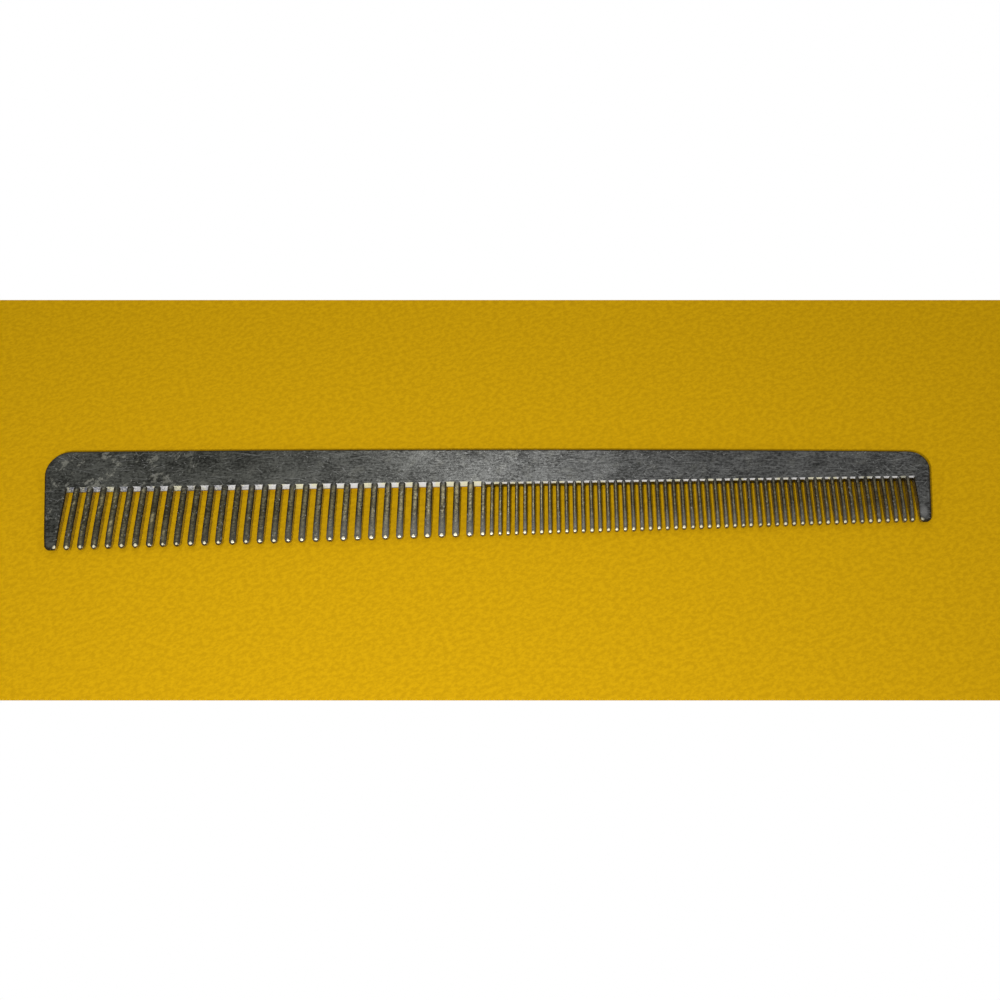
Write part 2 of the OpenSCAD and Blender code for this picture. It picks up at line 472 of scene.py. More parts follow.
@dataclass
class Prong:
    """A tooth or guard: a bar that hangs from the back and thins to a round nose.

    Args:
        drawing: The comb's drawing.
        levels: The rings round its edges.
        left: Stations down its left side, from the seam to the end.
        right: Stations down its right side, each beside one on the left.
        end_y: Height of its very end.
        spot: Middle of the painted highlight on its nose.
        spot_radius: Radius of that spot.
        bend: How far its end is bent along the comb.
        reach: How much of its finish is that of a slim tooth and not that of the back.
        rim: How far the painted shade of its edges runs in over its faces.
    """

    drawing: Drawing
    levels: Levels
    left: list[Station]
    right: list[Station]
    end_y: float
    spot: Point2
    spot_radius: float
    bend: float = 0.0
    reach: float = 1.0
    rim: float = 0.24

    def inside(self, station: Station, level: int) -> Point2:
        """The plan place of a station at a ring."""
        return station.inside(self.levels.inset(level, station.radius))

    def point(self, maker: MeshMaker, place: Point2, level: int, radius: float, rim: float) -> int:
        """The corner point over a plan place at a ring, thinned and bent.

        Args:
            maker: Takes the point.
            place: The plan place, before the prong is bent.
            level: Number of the ring, from the lowest up.
            radius: Radius of the rounded edge there.
            rim: How much painted shade the point has at least.

        Returns:
            The number of the point.
        """
        x, y = place
        half = self.drawing.thickness / 2
        share = self.drawing.half_thickness(max(y - self.end_y, 0.0)) / half
        height = half + (self.levels.height(level, radius) - half) * share
        hang = max((self.left[0].y - y) / (self.left[0].y - self.end_y), 0.0)
        away = math.hypot(x - self.spot[0], y - self.spot[1])
        upper = self.levels.upper(level)
        marks = {
            # Painted highlight on the nose, on the upper faces only.
            Mark.SPOT: max(0.0, 1 - away / (2 * self.spot_radius)) if upper else 0.0,
            Mark.REACH: self.reach * hang,
            # Painted shade on the rounded edges, spread a little over the faces.
            Mark.EDGE: max(self.levels.edge(level), rim),
        }
        return maker.point((x + self.bend * hang**2, y, height), marks)

    def row(self, maker: MeshMaker, station: Station) -> list[int]:
        """The corner points of a station at all rings, from the lowest up."""
        rings = range(len(self.levels.rings))
        return [self.point(maker, self.inside(station, k), k, station.radius, self.rim) for k in rings]

    def crest(self, maker: MeshMaker, one: Station, two: Station) -> int:
        """The corner point on the upper face halfway between two stations.

        Args:
            maker: Takes the point.
            one: The station on the left.
            two: The station on the right.

        Returns:
            The number of the point.
        """
        top = self.levels.top
        (x0, y0), (x1, y1) = self.inside(one, top), self.inside(two, top)
        return self.point(maker, ((x0 + x1) / 2, (y0 + y1) / 2), top, one.radius, 0.0)

    def build(self, maker: MeshMaker) -> None:
        """Adds all faces of the prong.

        Args:
            maker: Takes the points and the faces.
        """
        left = [self.row(maker, station) for station in self.left]
        right = [self.row(maker, station) for station in self.right]
        crests = [self.crest(maker, *pair) for pair in zip(self.left, self.right)]
        top = self.levels.top
        for rows in (left, right):
            for above, below in zip(rows, rows[1:]):
                for k in range(top):
                    corners = [above[k], below[k], below[k + 1], above[k + 1]]
                    maker.face(corners, self.levels.side(k))
        for j in range(len(left) - 1):
            maker.face([left[j][0], left[j + 1][0], right[j + 1][0], right[j][0]])
            for rows in (left, right):
                maker.face([rows[j][top], rows[j + 1][top], crests[j + 1], crests[j]])
        for k in range(top):
            crest = [crests[-1]] if k == top - 1 else []
            maker.face([left[-1][k], right[-1][k], right[-1][k + 1], *crest, left[-1][k + 1]])
        maker.face(left[0] + [crests[0]] + right[0][::-1])


@dataclass
class ToothRow:
    """A row of like teeth, or a single tooth.

    Args:
        drawing: The comb's drawing.
        levels: The rings round the edges.
        name: Name of the piece, which is also the node that it stands for.
        spans: The left and right side of each tooth, along the comb.
        radius: Radius along the teeth's edges.
        roots: Height of the seam at the left and right side of each tooth.
        bends: How far some teeth are bent along the comb at their tips.
        seed: Start of the small random bends and spots.
        side_steps: Number of rows above where a tooth thins, and again from there to its nose.
        nose_steps: Number of rows round half a nose.
        stray: How far any tooth may be bent by chance.
        spot_rise: Height of the painted highlight above the end of a tooth.
        spot_radius: Mean radius of the painted highlight.
        spot_stray: How far the spot may lie beside the middle of the tooth.
        spot_change: Least and greatest size of a spot, as shares of the mean.
    """

    drawing: Drawing
    levels: Levels
    name: str
    spans: list[Point2]
    roots: list[Point2]
    radius: float
    bends: dict[int, float]
    seed: int
    side_steps: int = 7
    nose_steps: int = 10
    stray: float = 0.035
    spot_rise: float = 0.44
    spot_radius: float = 0.25
    spot_stray: float = 0.05
    spot_change: Point2 = (0.85, 1.15)

    def sides(self, span: Point2, root: Point2) -> tuple[list[Station], list[Station], float]:
        """The stations down both sides of a tooth.

        Args:
            span: Its left and right side along the comb.
            root: Height of its seam at the left and at the right.

        Returns:
            The stations on the left, those on the right, and the height of its end.
        """
        x0, x1 = span
        half = (x1 - x0) / 2
        middle = (x0 + x1) / 2
        end_y = self.drawing.tip_y(middle)
        nose_y = end_y + half
        thin_y = end_y + self.thin_length()
        seam = direction((x0, root[0]), (x1, root[1]))
        left = [Station(x0, root[0], along_seam(seam, (1, 0)), self.radius)]
        right = [Station(x1, root[1], along_seam((-seam[0], -seam[1]), (-1, 0)), self.radius)]
        top = min(root) - self.radius
        steps = self.side_steps
        rows = [top + (thin_y - top) * k / steps for k in range(steps + 1)]
        rows += [thin_y + (nose_y - thin_y) * k / steps for k in range(1, steps + 1)]
        for y in rows:
            left.append(Station(x0, y, (1, 0), self.radius))
            right.append(Station(x1, y, (-1, 0), self.radius))
        for k in range(1, self.nose_steps + 1):
            turn = math.pi / 2 * k / self.nose_steps
            dx, dy = math.cos(turn), math.sin(turn)
            left.append(Station(middle - half * dx, nose_y - half * dy, (dx, dy), self.radius))
            right.append(Station(middle + half * dx, nose_y - half * dy, (-dx, dy), self.radius))
        return left, right, end_y

    def thin_length(self) -> float:
        """Distance from a tooth's end to where it starts to thin.

        Returns:
            The distance.
        """
        d = self.drawing
        flat = (d.thickness / 2 - d.nose_radius / math.cos(d.tip_lean)) / math.tan(d.tip_lean)
        return d.nose_radius + flat

    def build(self) -> bpy.types.Object:
        """Makes the row as one piece of separate teeth.

        Returns:
            The new object.
        """
        maker = MeshMaker(self.drawing)
        chance = random.Random(self.seed)
        for number, (span, root) in enumerate(zip(self.spans, self.roots)):
            left, right, end_y = self.sides(span, root)
            bend = self.bends.get(number, 0.0) + chance.uniform(-self.stray, self.stray)
            middle = (span[0] + span[1]) / 2 + chance.uniform(-self.spot_stray, self.spot_stray)
            radius = self.spot_radius * chance.uniform(*self.spot_change)
            spot = (middle, end_y + self.spot_rise)
            prong = Prong(self.drawing, self.levels, left, right, end_y, spot, radius, bend)
            prong.build(maker)
        return maker.build(self.name)


@dataclass
class Guard:
    """The wide outer tooth at one end of the comb.

    Args:
        drawing: The comb's drawing.
        levels: The rings round the edges.
        name: Name of the piece, which is also the node that it stands for.
        side: -1 at the coarse end and 1 at the fine end.
        side_steps: Number of rows along its sides.
        corner_steps: Number of rows round its lower corners.
        seam_tries: How often the place of the seam is bettered.
        spot_rise: Height of the painted highlight above its end.
        spot_shift: How far the spot lies from the middle of its inner corner.
        spot_radius: Radius of the painted highlight.
    """

    drawing: Drawing
    levels: Levels
    name: str
    side: int
    side_steps: int = 18
    corner_steps: int = 9
    seam_tries: int = 4
    spot_rise: float = 0.55
    spot_shift: float = 0.1
    spot_radius: float = 0.32

    @property
    def end_y(self) -> float:
        """Height of its very end."""
        return self.drawing.coarse_tip_y if self.side < 0 else self.drawing.fine_tip_y

    def seam(self) -> tuple[Point2, Point2]:
        """The outer and inner end of the seam between the guard and the back.

        Returns:
            The outer end and the inner end.
        """
        d = self.drawing
        root = d.root_y if self.side < 0 else d.fine_root_y
        inner_x = d.first_slot_x if self.side < 0 else d.last_slot_x
        outer_y = root(self.side * d.half_length)
        for _ in range(self.seam_tries):
            outer_y = root(d.end_x(self.side, outer_y))
        return (d.end_x(self.side, outer_y), outer_y), (inner_x, root(inner_x))

    def corner_rows(self, centre: Point2, radius: float, side: int, edge: float) -> list[Station]:
        """The stations round a lower corner of the guard.

        Args:
            centre: Middle of the corner's round.
            radius: Radius of the round.
            side: -1 for a corner on the left and 1 for one on the right.
            edge: Radius along the edge there.

        Returns:
            The stations, from the side down to the end.
        """
        rows = []
        for k in range(1, self.corner_steps + 1):
            turn = math.pi / 2 * k / self.corner_steps
            dx, dy = side * math.cos(turn), math.sin(turn)
            rows.append(Station(centre[0] + radius * dx, centre[1] - radius * dy, (-dx, dy), edge))
        return rows

    def build(self) -> bpy.types.Object:
        """Makes the guard as one piece.

        Returns:
            The new object.
        """
        d = self.drawing
        side = self.side
        edge, inner_edge = d.edge_radius, d.slot_edge_radius(side)
        outer_r, inner_r = d.guard_outer_radius, d.guard_inner_radius
        outer_y, inner_y = self.end_y + outer_r, self.end_y + inner_r
        outer, inner = self.seam()
        inward, seam = d.inward(side), direction(outer, inner)
        outer_side = [Station(*outer, along_seam(seam, inward), edge)]
        inner_side = [Station(*inner, along_seam((-seam[0], -seam[1]), (side, 0)), inner_edge)]
        top = min(outer[1], inner[1]) - edge
        for k in range(self.side_steps + 1):
            share = k / self.side_steps
            y = top + (outer_y - top) * share
            outer_side.append(Station(d.end_x(side, y), y, inward, edge))
            y = top + (inner_y - top) * share
            inner_side.append(Station(inner[0], y, (side, 0), inner_edge))
        outer_c = d.end_x(side, outer_y) - side * outer_r / math.cos(d.lean(side))
        inner_c = inner[0] + side * inner_r
        outer_side += self.corner_rows((outer_c, outer_y), outer_r, side, edge)
        inner_side += self.corner_rows((inner_c, inner_y), inner_r, -side, inner_edge)
        sides = (outer_side, inner_side) if side < 0 else (inner_side, outer_side)
        spot = (inner_c - side * self.spot_shift, self.end_y + self.spot_rise)
        maker = MeshMaker(d)
        prong = Prong(d, self.levels, *sides, self.end_y, spot, self.spot_radius, reach=0.0, rim=0.0)
        prong.build(maker)
        return maker.build(self.name)


@dataclass
class Back:
    """The solid back, with its bowed edge, round corners and the roots of all slots.

    Args:
        drawing: The comb's drawing.
        levels: The rings round the edges.
        slots: The left and right corner of each slot's root, from the coarse end.
        seams: The outer and inner end of the seam of each guard.
        name: Name of the piece, which is also the node that it stands for.
        bow_steps: Number of steps along the bow.
        corner_steps: Number of steps round each corner.
        end_steps: Number of steps down each leaning end.
        root_steps: Number of steps across the root of a slot.
        arch: How far the root of a fine slot is arched.
        arch_power: How flat that arch is in its middle.
    """

    drawing: Drawing
    levels: Levels
    slots: list[tuple[Point2, Point2]]
    seams: tuple[tuple[Point2, Point2], tuple[Point2, Point2]]
    name: str = "back"
    bow_steps: int = 48
    corner_steps: int = 14
    end_steps: int = 4
    root_steps: int = 6
    arch: float = 0.06
    arch_power: float = 2.6

    def outer_chain(self) -> list[Station]:
        """Stations up the coarse end, along the bow and down the fine end.

        Returns:
            The stations, from the coarse guard's seam to the fine guard's.
        """
        d = self.drawing
        (outer0, inner0), (outer1, inner1) = self.seams
        radius0, centre0_x, centre0_y = d.corner(-1)
        radius1, centre1_x, centre1_y = d.corner(1)
        bow0 = math.asin(-centre0_x / (d.bow_radius - radius0))
        bow1 = math.asin(centre1_x / (d.bow_radius - radius1))
        chain = [self.seam_end(outer0, inner0, -1)]
        chain += self.end_rows(-1, outer0[1], centre0_y - radius0 * math.sin(d.coarse_lean))
        chain += self.turn(-1, math.pi + d.coarse_lean, math.pi / 2 + bow0)
        for k in range(1, self.bow_steps):
            turn = math.pi / 2 + bow0 - (bow0 + bow1) * k / self.bow_steps
            out = (math.cos(turn), math.sin(turn))
            x, y = d.bow_radius * out[0], d.bow_radius * (out[1] - 1)
            chain.append(Station(x, y, (-out[0], -out[1]), d.edge_radius))
        chain += self.turn(1, math.pi / 2 - bow1, -d.fine_lean)
        chain += self.end_rows(1, centre1_y - radius1 * math.sin(d.fine_lean), outer1[1])
        chain.append(self.seam_end(outer1, inner1, 1))
        return chain

    def end_rows(self, side: int, start: float, end: float) -> list[Station]:
        """Stations between two heights of the leaning coarse end (-1) or fine end (1).

        Args:
            side: -1 for the coarse end and 1 for the fine end.
            start: The first height.
            end: The last height.

        Returns:
            The stations between the two, without the first and the last.
        """
        d = self.drawing
        rows = []
        for k in range(1, self.end_steps):
            y = start + (end - start) * k / self.end_steps
            rows.append(Station(d.end_x(side, y), y, d.inward(side), d.edge_radius))
        return rows

    def seam_end(self, outer: Point2, inner: Point2, side: int) -> Station:
        """The station where the leaning coarse end (-1) or fine end (1) meets its guard's seam."""
        d = self.drawing
        return Station(*outer, along_seam(direction(outer, inner), d.inward(side)), d.edge_radius)

    def turn(self, side: int, start: float, end: float) -> list[Station]:
        """Stations round a corner of the back, from one angle to another.

        Args:
            side: -1 for the coarse end and 1 for the fine end.
            start: Angle of the first station, from the direction of the fine end.
            end: Angle of the last station.

        Returns:
            The stations.
        """
        d = self.drawing
        radius, centre_x, centre_y = d.corner(side)
        stations = []
        for k in range(self.corner_steps + 1):
            angle = start + (end - start) * k / self.corner_steps
            out = (math.cos(angle), math.sin(angle))
            place = (centre_x + radius * out[0], centre_y + radius * out[1])
            stations.append(Station(*place, (-out[0], -out[1]), d.edge_radius))
        return stations

    def root_rows(self, maker: MeshMaker, number: int) -> list[list[int]]:
        """The corner points along the root of a slot, with its bevelled ridge.

        Args:
            maker: Takes the points.
            number: Number of the slot, from the coarse end.

        Returns:
            The points at all rings, from the lowest up, at each step from left to right.
        """
        (x0, y0), (x1, y1) = self.slots[number]
        d = self.drawing
        coarse = number < d.coarse_slots
        radius = d.slot_edge_radius(-1 if coarse else 1)
        ridge = d.coarse_ridge if coarse else d.fine_ridge
        flat = d.coarse_ridge_flat if coarse else d.fine_ridge_flat
        rise = 0.0 if coarse else self.arch
        rows = []
        for step in range(self.root_steps + 1):
            share = step / self.root_steps
            side = {0: -1, self.root_steps: 1}.get(step, 0)
            bulge = rise * (1 - abs(2 * share - 1) ** self.arch_power)
            row = []
            for k in range(self.levels.top + 1):
                height = self.levels.height(k, radius)
                out = (self.levels.half - abs(height - self.levels.half)) / (self.levels.half - flat / 2)
                out = min(out, 1.0)
                x = x0 + (x1 - x0) * share + side * self.levels.inset(k, radius)
                y = y0 + (y1 - y0) * share + bulge - ridge * out
                # On coarse roots the edge mark carries the painted shade line along the ridge crest.
                row.append(maker.point((x, y, height), {Mark.EDGE: out if coarse else 0.0}))
            rows.append(row)
        return rows

    def corner(self, maker: MeshMaker, station: Station, level: int) -> int:
        """The corner point of a station at a ring.

        Args:
            maker: Takes the point.
            station: The station.
            level: Number of the ring, from the lowest up.

        Returns:
            The number of the point.
        """
        x, y = station.inside(self.levels.inset(level, station.radius))
        height = self.levels.height(level, station.radius)
        # The edge mark carries the painted shade on the back's rounded edges.
        return maker.point((x, y, height), {Mark.EDGE: self.levels.edge(level)})

    def column(self, maker: MeshMaker, station: Station) -> list[int]:
        """The corner points of a station at all rings, from the lowest up."""
        return [self.corner(maker, station, k) for k in range(self.levels.top + 1)]

    def build(self) -> bpy.types.Object:
        """Makes the back as one piece.

        Returns:
            The new object.
        """
        maker = MeshMaker(self.drawing)
        outer = [self.column(maker, s) for s in self.outer_chain()]
        self.skirt(maker, outer, [Face.WORN] * 3)
        top, bottom = [outer[0][-1]], [outer[0][0]]
        seam_from, seam_start = outer[0], self.seams[0][0]
        seam_ends = [start for start, _ in self.slots[1:]] + [self.seams[1][0]]
        for number, ((start, end), next_end) in enumerate(zip(self.slots, seam_ends)):
            rows = self.root_rows(maker, number)
            coarse = number < self.drawing.coarse_slots
            radius = self.drawing.slot_edge_radius(-1 if coarse else 1)
            left = self.seam_column(maker, start, seam_start, -1, radius)
            right = self.seam_column(maker, end, next_end, 1, radius)
            # Coarse roots, and the upper half of fine roots, take the cut finish with its painted
            # highlight.
            self.skirt(maker, rows, [Face.CUT] * 3 if coarse else [Face.WORN, Face.WORN, Face.CUT])
            for seam, edge in ((left, rows[0]), (right, rows[-1])):
                for k in range(self.levels.top):
                    maker.face([seam[k], seam[k + 1], edge[k + 1], edge[k]])
            maker.face(seam_from + left[::-1])
            seam_from, seam_start = right, end
            top += [left[-1]] + [row[-1] for row in rows] + [right[-1]]
            bottom += [left[0]] + [row[0] for row in rows] + [right[0]]
        maker.face(seam_from + outer[-1][::-1])
        top += [row[-1] for row in reversed(outer[1:])]
        bottom += [row[0] for row in reversed(outer[1:])]
        maker.face(top)
        maker.face(bottom)
        return maker.build(self.name)

    def skirt(self, maker: MeshMaker, rows: list[list[int]], finishes: list[Face]) -> None:
        """Adds the faces between columns: the rounded edges and the wall between them.

        Args:
            maker: Takes the faces.
            rows: The columns of corner points, in order.
            finishes: Those of the lower part, the middle and the upper part.
        """
        for one, two in zip(rows, rows[1:]):
            for k in range(self.levels.top):
                finish = finishes[self.levels.rings[k][0] + 1]
                maker.face([one[k], one[k + 1], two[k + 1], two[k]], finish)

    def seam_column(
        self, maker: MeshMaker, corner: Point2, far: Point2, side: int, radius: float
    ) -> list[int]:
        """Corner points of a rounded tooth edge where it crosses a seam.

        Args:
            maker: Takes the points.
            corner: The corner of the slot where the seam ends.
            far: The other end of the seam.
            side: -1 where the tooth lies left of the slot and 1 where it lies right.
            radius: Radius of the tooth's edge.

        Returns:
            The points at all rings, from the lowest up.
        """
        step = along_seam(direction(corner, far), (float(side), 0.0))
        return self.column(maker, Station(*corner, step, radius))


@dataclass(frozen=True)
class Grain:
    """One kind of noise, which may be drawn out and turned.

    Args:
        size: Size of a grain, in millimetres.
        detail: Number of finer layers.
        stretch: How often the grain is longer along each axis.
        turn: Angle to the comb's length, in degrees.
        rough: Strength of the finer layers.
    """

    size: float
    detail: float = 3
    stretch: Point3 = (1, 1, 1)
    turn: float = 0.0
    rough: float = 0.55


class Graph:
    """A small helper that lays out the nodes of a finish."""

    def __init__(self, name: str) -> None:
        """Starts a material with one surface shader.

        Args:
            name: Name of the material.
        """
        self.material = bpy.data.materials.new(name)
        self.material.use_nodes = True
        self.tree = self.material.node_tree
        self.shader = self.tree.nodes["Principled BSDF"]

    def node(self, kind: str, **settings: object) -> bpy.types.Node:
        """Adds a node.

        Args:
            kind: Blender's name of the node type.
            settings: Properties of the node.

        Returns:
            The node.
        """
        made = self.tree.nodes.new(kind)
        for key, value in settings.items():
            setattr(made, key, value)
        return made

    def feed(self, socket: Socket, value: object) -> None:
        """Gives a socket a number, a vector or another socket.

        Args:
            socket: The input that takes it.
            value: The number, vector or socket.
        """
        if isinstance(value, bpy.types.NodeSocket):
            self.tree.links.new(value, socket)
        else:
            socket.default_value = value

    def set(self, name: str, value: object) -> None:
        """Gives an input of the surface shader a number or a socket."""
        self.feed(self.shader.inputs[name], value)

    def math(self, operation: str, *values: object) -> Socket:
        """The result of a maths node.

        Args:
            operation: Blender's name of the operation.
            values: What goes in, each a number or a socket.

        Returns:
            The result.
        """
        made = self.node("ShaderNodeMath", operation=operation)
        for socket, value in zip(made.inputs, values):
            self.feed(socket, value)
        return made.outputs[0]

    def product(self, first: object, *others: object) -> Socket:
        """All values multiplied."""
        return reduce(lambda one, two: self.math("MULTIPLY", one, two), others, first)

    def largest(self, first: object, *others: object) -> Socket:
        """The largest of the values."""
        return reduce(lambda one, two: self.math("MAXIMUM", one, two), others, first)

    def vector(self, operation: str, *values: object) -> Socket:
        """The result of a vector maths node.

        Args:
            operation: Blender's name of the operation.
            values: What goes in, each a vector or a socket.

        Returns:
            The result, which is a number for a distance or a dot product.
        """
        made = self.node("ShaderNodeVectorMath", operation=operation)
        for socket, value in zip(made.inputs, values):
            self.feed(socket, value)
        return made.outputs["Value" if operation in ("DISTANCE", "DOT_PRODUCT") else "Vector"]

    def ramp(self, value: object, span: Point2, to: Point2 = (0, 1)) -> Socket:
        """A value spread smoothly from one range onto another.

        Args:
            value: The value.
            span: The range that it comes from.
            to: The range that it goes to.

        Returns:
            The new value, which stays within the second range.
        """
        made = self.node("ShaderNodeMapRange", interpolation_type="SMOOTHSTEP")
        self.feed(made.inputs["Value"], value)
        for key, number in zip(("From Min", "From Max", "To Min", "To Max"), (*span, *to)):
            made.inputs[key].default_value = number
        return made.outputs["Result"]

    def mix(self, share: object, one: object, two: object, how: str = "MIX") -> Socket:
        """A mix of two colours, each a socket or three numbers.

        Args:
            share: Share of the second colour.
            one: The first colour.
            two: The second colour.
            how: Blender's name of the way they are mixed.

        Returns:
            The mixed colour.
        """
        made = self.node("ShaderNodeMix", data_type="RGBA", blend_type=how)
        self.feed(made.inputs["Factor"], share)
        for socket, colour in zip(made.inputs[6:8], (one, two)):
            self.feed(socket, (*colour, 1.0) if isinstance(colour, tuple) else colour)
        return made.outputs[2]

    def mark(self, mark: Mark) -> Socket:
        """The value of a mesh attribute."""
        return self.node("ShaderNodeAttribute", attribute_name=mark.value).outputs["Fac"]

    def split(self, value: Socket, kind: str = "ShaderNodeSeparateXYZ") -> list[Socket]:
        """The three parts of a vector or a colour.

        Args:
            value: The vector or colour.
            kind: Blender's name of the node that splits it.

        Returns:
            Its three parts.
        """
        made = self.node(kind)
        self.feed(made.inputs[0], value)
        return made.outputs[:3]

    def place(self) -> Socket:
        """The place on the piece, in millimetres.

        Returns:
            The place.
        """
        scaled = self.node("ShaderNodeVectorMath", operation="SCALE")
        self.feed(scaled.inputs[0], self.node("ShaderNodeTexCoord").outputs["Object"])
        scaled.inputs["Scale"].default_value = 1 / MM
        return scaled.outputs[0]

    def noise(self, place: Socket, grain: Grain) -> Socket:
        """Noise of a kind, about 0.5 on average.

        Args:
            place: The place on the piece, in millimetres.
            grain: The kind of noise.

        Returns:
            The noise.
        """
        turned = self.node("ShaderNodeMapping", vector_type="TEXTURE")
        self.feed(turned.inputs["Vector"], place)
        turned.inputs["Rotation"].default_value = (0, 0, math.radians(grain.turn))
        turned.inputs["Scale"].default_value = [grain.size * share for share in grain.stretch]
        made = self.node("ShaderNodeTexNoise", noise_dimensions="3D")
        self.feed(made.inputs["Vector"], turned.outputs[0])
        made.inputs["Scale"].default_value = 1.0
        made.inputs["Detail"].default_value = grain.detail
        made.inputs["Roughness"].default_value = grain.rough
        return made.outputs["Fac"]


@dataclass(frozen=True)
class Swell:
    """A strength that rises along the comb, stays full and falls again.

    Args:
        rise: Where it rises from nothing, and where it is full.
        fall: Where it starts to fall, and where it is at its last value.
        last: Its last value.
    """

    rise: Point2
    fall: Point2
    last: float

    def draw(self, graph: Graph, along: Socket) -> Socket:
        """The strength at a place along the comb."""
        rising = graph.ramp(along, self.rise)
        return graph.math("MINIMUM", rising, graph.ramp(along, self.fall, (1, self.last)))


@dataclass(frozen=True)
class Scratches:
    """One layer of single straight scratches, one in each cell of a random pattern.

    Args:
        cell: Size of a cell along and across the comb, in millimetres.
        length: Length of the longest scratch.
        width: Width of a scratch.
        turn: Mean angle to the comb's length, in degrees.
        spread: How far the angles spread round it, in degrees.
        share: Share of the cells that hold a scratch.
        offset: Shifts the pattern along the comb, in millimetres.
        strength: How bright its scratches are.
        across: Share of the offset that shifts the pattern across the comb.
        halves: Half the shortest scratch and what chance adds to it, as shares of the length.
        fade: Where a scratch starts to fade and where it ends, as shares of its half length.
        soft: Where a scratch is full and where it ends sideways, as shares of its width.
    """

    cell: Point2
    length: float
    width: float
    turn: float
    spread: float
    share: float
    offset: float
    strength: float
    across: float = 0.7
    halves: Point2 = (0.15, 0.35)
    fade: Point2 = (0.55, 1.0)
    soft: Point2 = (0.25, 0.5)

    def draw(self, graph: Graph, place: Socket) -> Socket:
        """The mask of the scratches, 1 on a scratch and 0 beside it.

        Args:
            graph: Takes the nodes.
            place: The place on the piece, in millimetres.

        Returns:
            The mask.
        """
        size = (*self.cell, 1.0)
        flat = graph.vector("MULTIPLY", place, (1, 1, 0))
        moved = graph.vector("ADD", flat, (self.offset, self.offset * self.across, 0))
        scaled = graph.vector("DIVIDE", moved, size)
        cells = graph.node("ShaderNodeTexVoronoi", voronoi_dimensions="2D", feature="F1")
        cells.inputs["Scale"].default_value = 1.0
        graph.feed(cells.inputs["Vector"], scaled)
        away = graph.vector("SUBTRACT", scaled, cells.outputs["Position"])
        x, y, _ = graph.split(graph.vector("MULTIPLY", away, size))
        red, green, blue = graph.split(cells.outputs["Color"], "ShaderNodeSeparateColor")
        least, spread = math.radians(self.turn - self.spread), math.radians(self.spread)
        swing = graph.math("MULTIPLY_ADD", red, 2 * spread, least)
        cosine, sine = graph.math("COSINE", swing), graph.math("SINE", swing)
        along = graph.math("ADD", graph.product(x, cosine), graph.product(y, sine))
        aside = graph.math("SUBTRACT", graph.product(y, cosine), graph.product(x, sine))
        shortest, longer = self.halves
        half = graph.math("MULTIPLY_ADD", green, self.length * longer, self.length * shortest)
        taper = graph.math("DIVIDE", graph.math("ABSOLUTE", along), half)
        body = graph.ramp(taper, self.fade, (1, 0))
        edges = (self.width * self.soft[0], self.width * self.soft[1])
        line = graph.ramp(graph.math("ABSOLUTE", aside), edges, (1, 0))
        return graph.product(body, line, graph.math("LESS_THAN", blue, self.share))


@dataclass(frozen=True)
class Streaks:
    """One layer of the fine streaks that rubbing leaves, worn off in patches.

    Args:
        size: Width of a streak, in millimetres.
        stretch: How many times longer than wide it is.
        turn: Angle to the comb's length, in degrees.
        strength: How bright its streaks are.
        shown: Values of the noise at which a streak starts and is full.
        patch: Size of a patch at no turn, in millimetres.
        patch_turn: Degrees of turn that make a patch a millimetre larger.
        patch_shown: Values of the noise at which a patch starts and is full.
    """

    size: float
    stretch: float
    turn: float
    strength: float
    shown: Point2 = (0.61, 0.70)
    patch: float = 4.0
    patch_turn: float = 9.0
    patch_shown: Point2 = (0.38, 0.62)

    def draw(self, graph: Graph, place: Socket) -> Socket:
        """The mask of the streaks.

        Args:
            graph: Takes the nodes.
            place: The place on the piece, in millimetres.

        Returns:
            The mask, as bright as the layer is strong.
        """
        streak = Grain(self.size, 2, (self.stretch, 1, 1), self.turn)
        patch = Grain(self.patch + self.turn / self.patch_turn, 2, (1.6, 1, 1), self.turn)
        drawn = graph.ramp(graph.noise(place, streak), self.shown)
        left = graph.ramp(graph.noise(place, patch), self.patch_shown)
        return graph.product(drawn, left, self.strength)


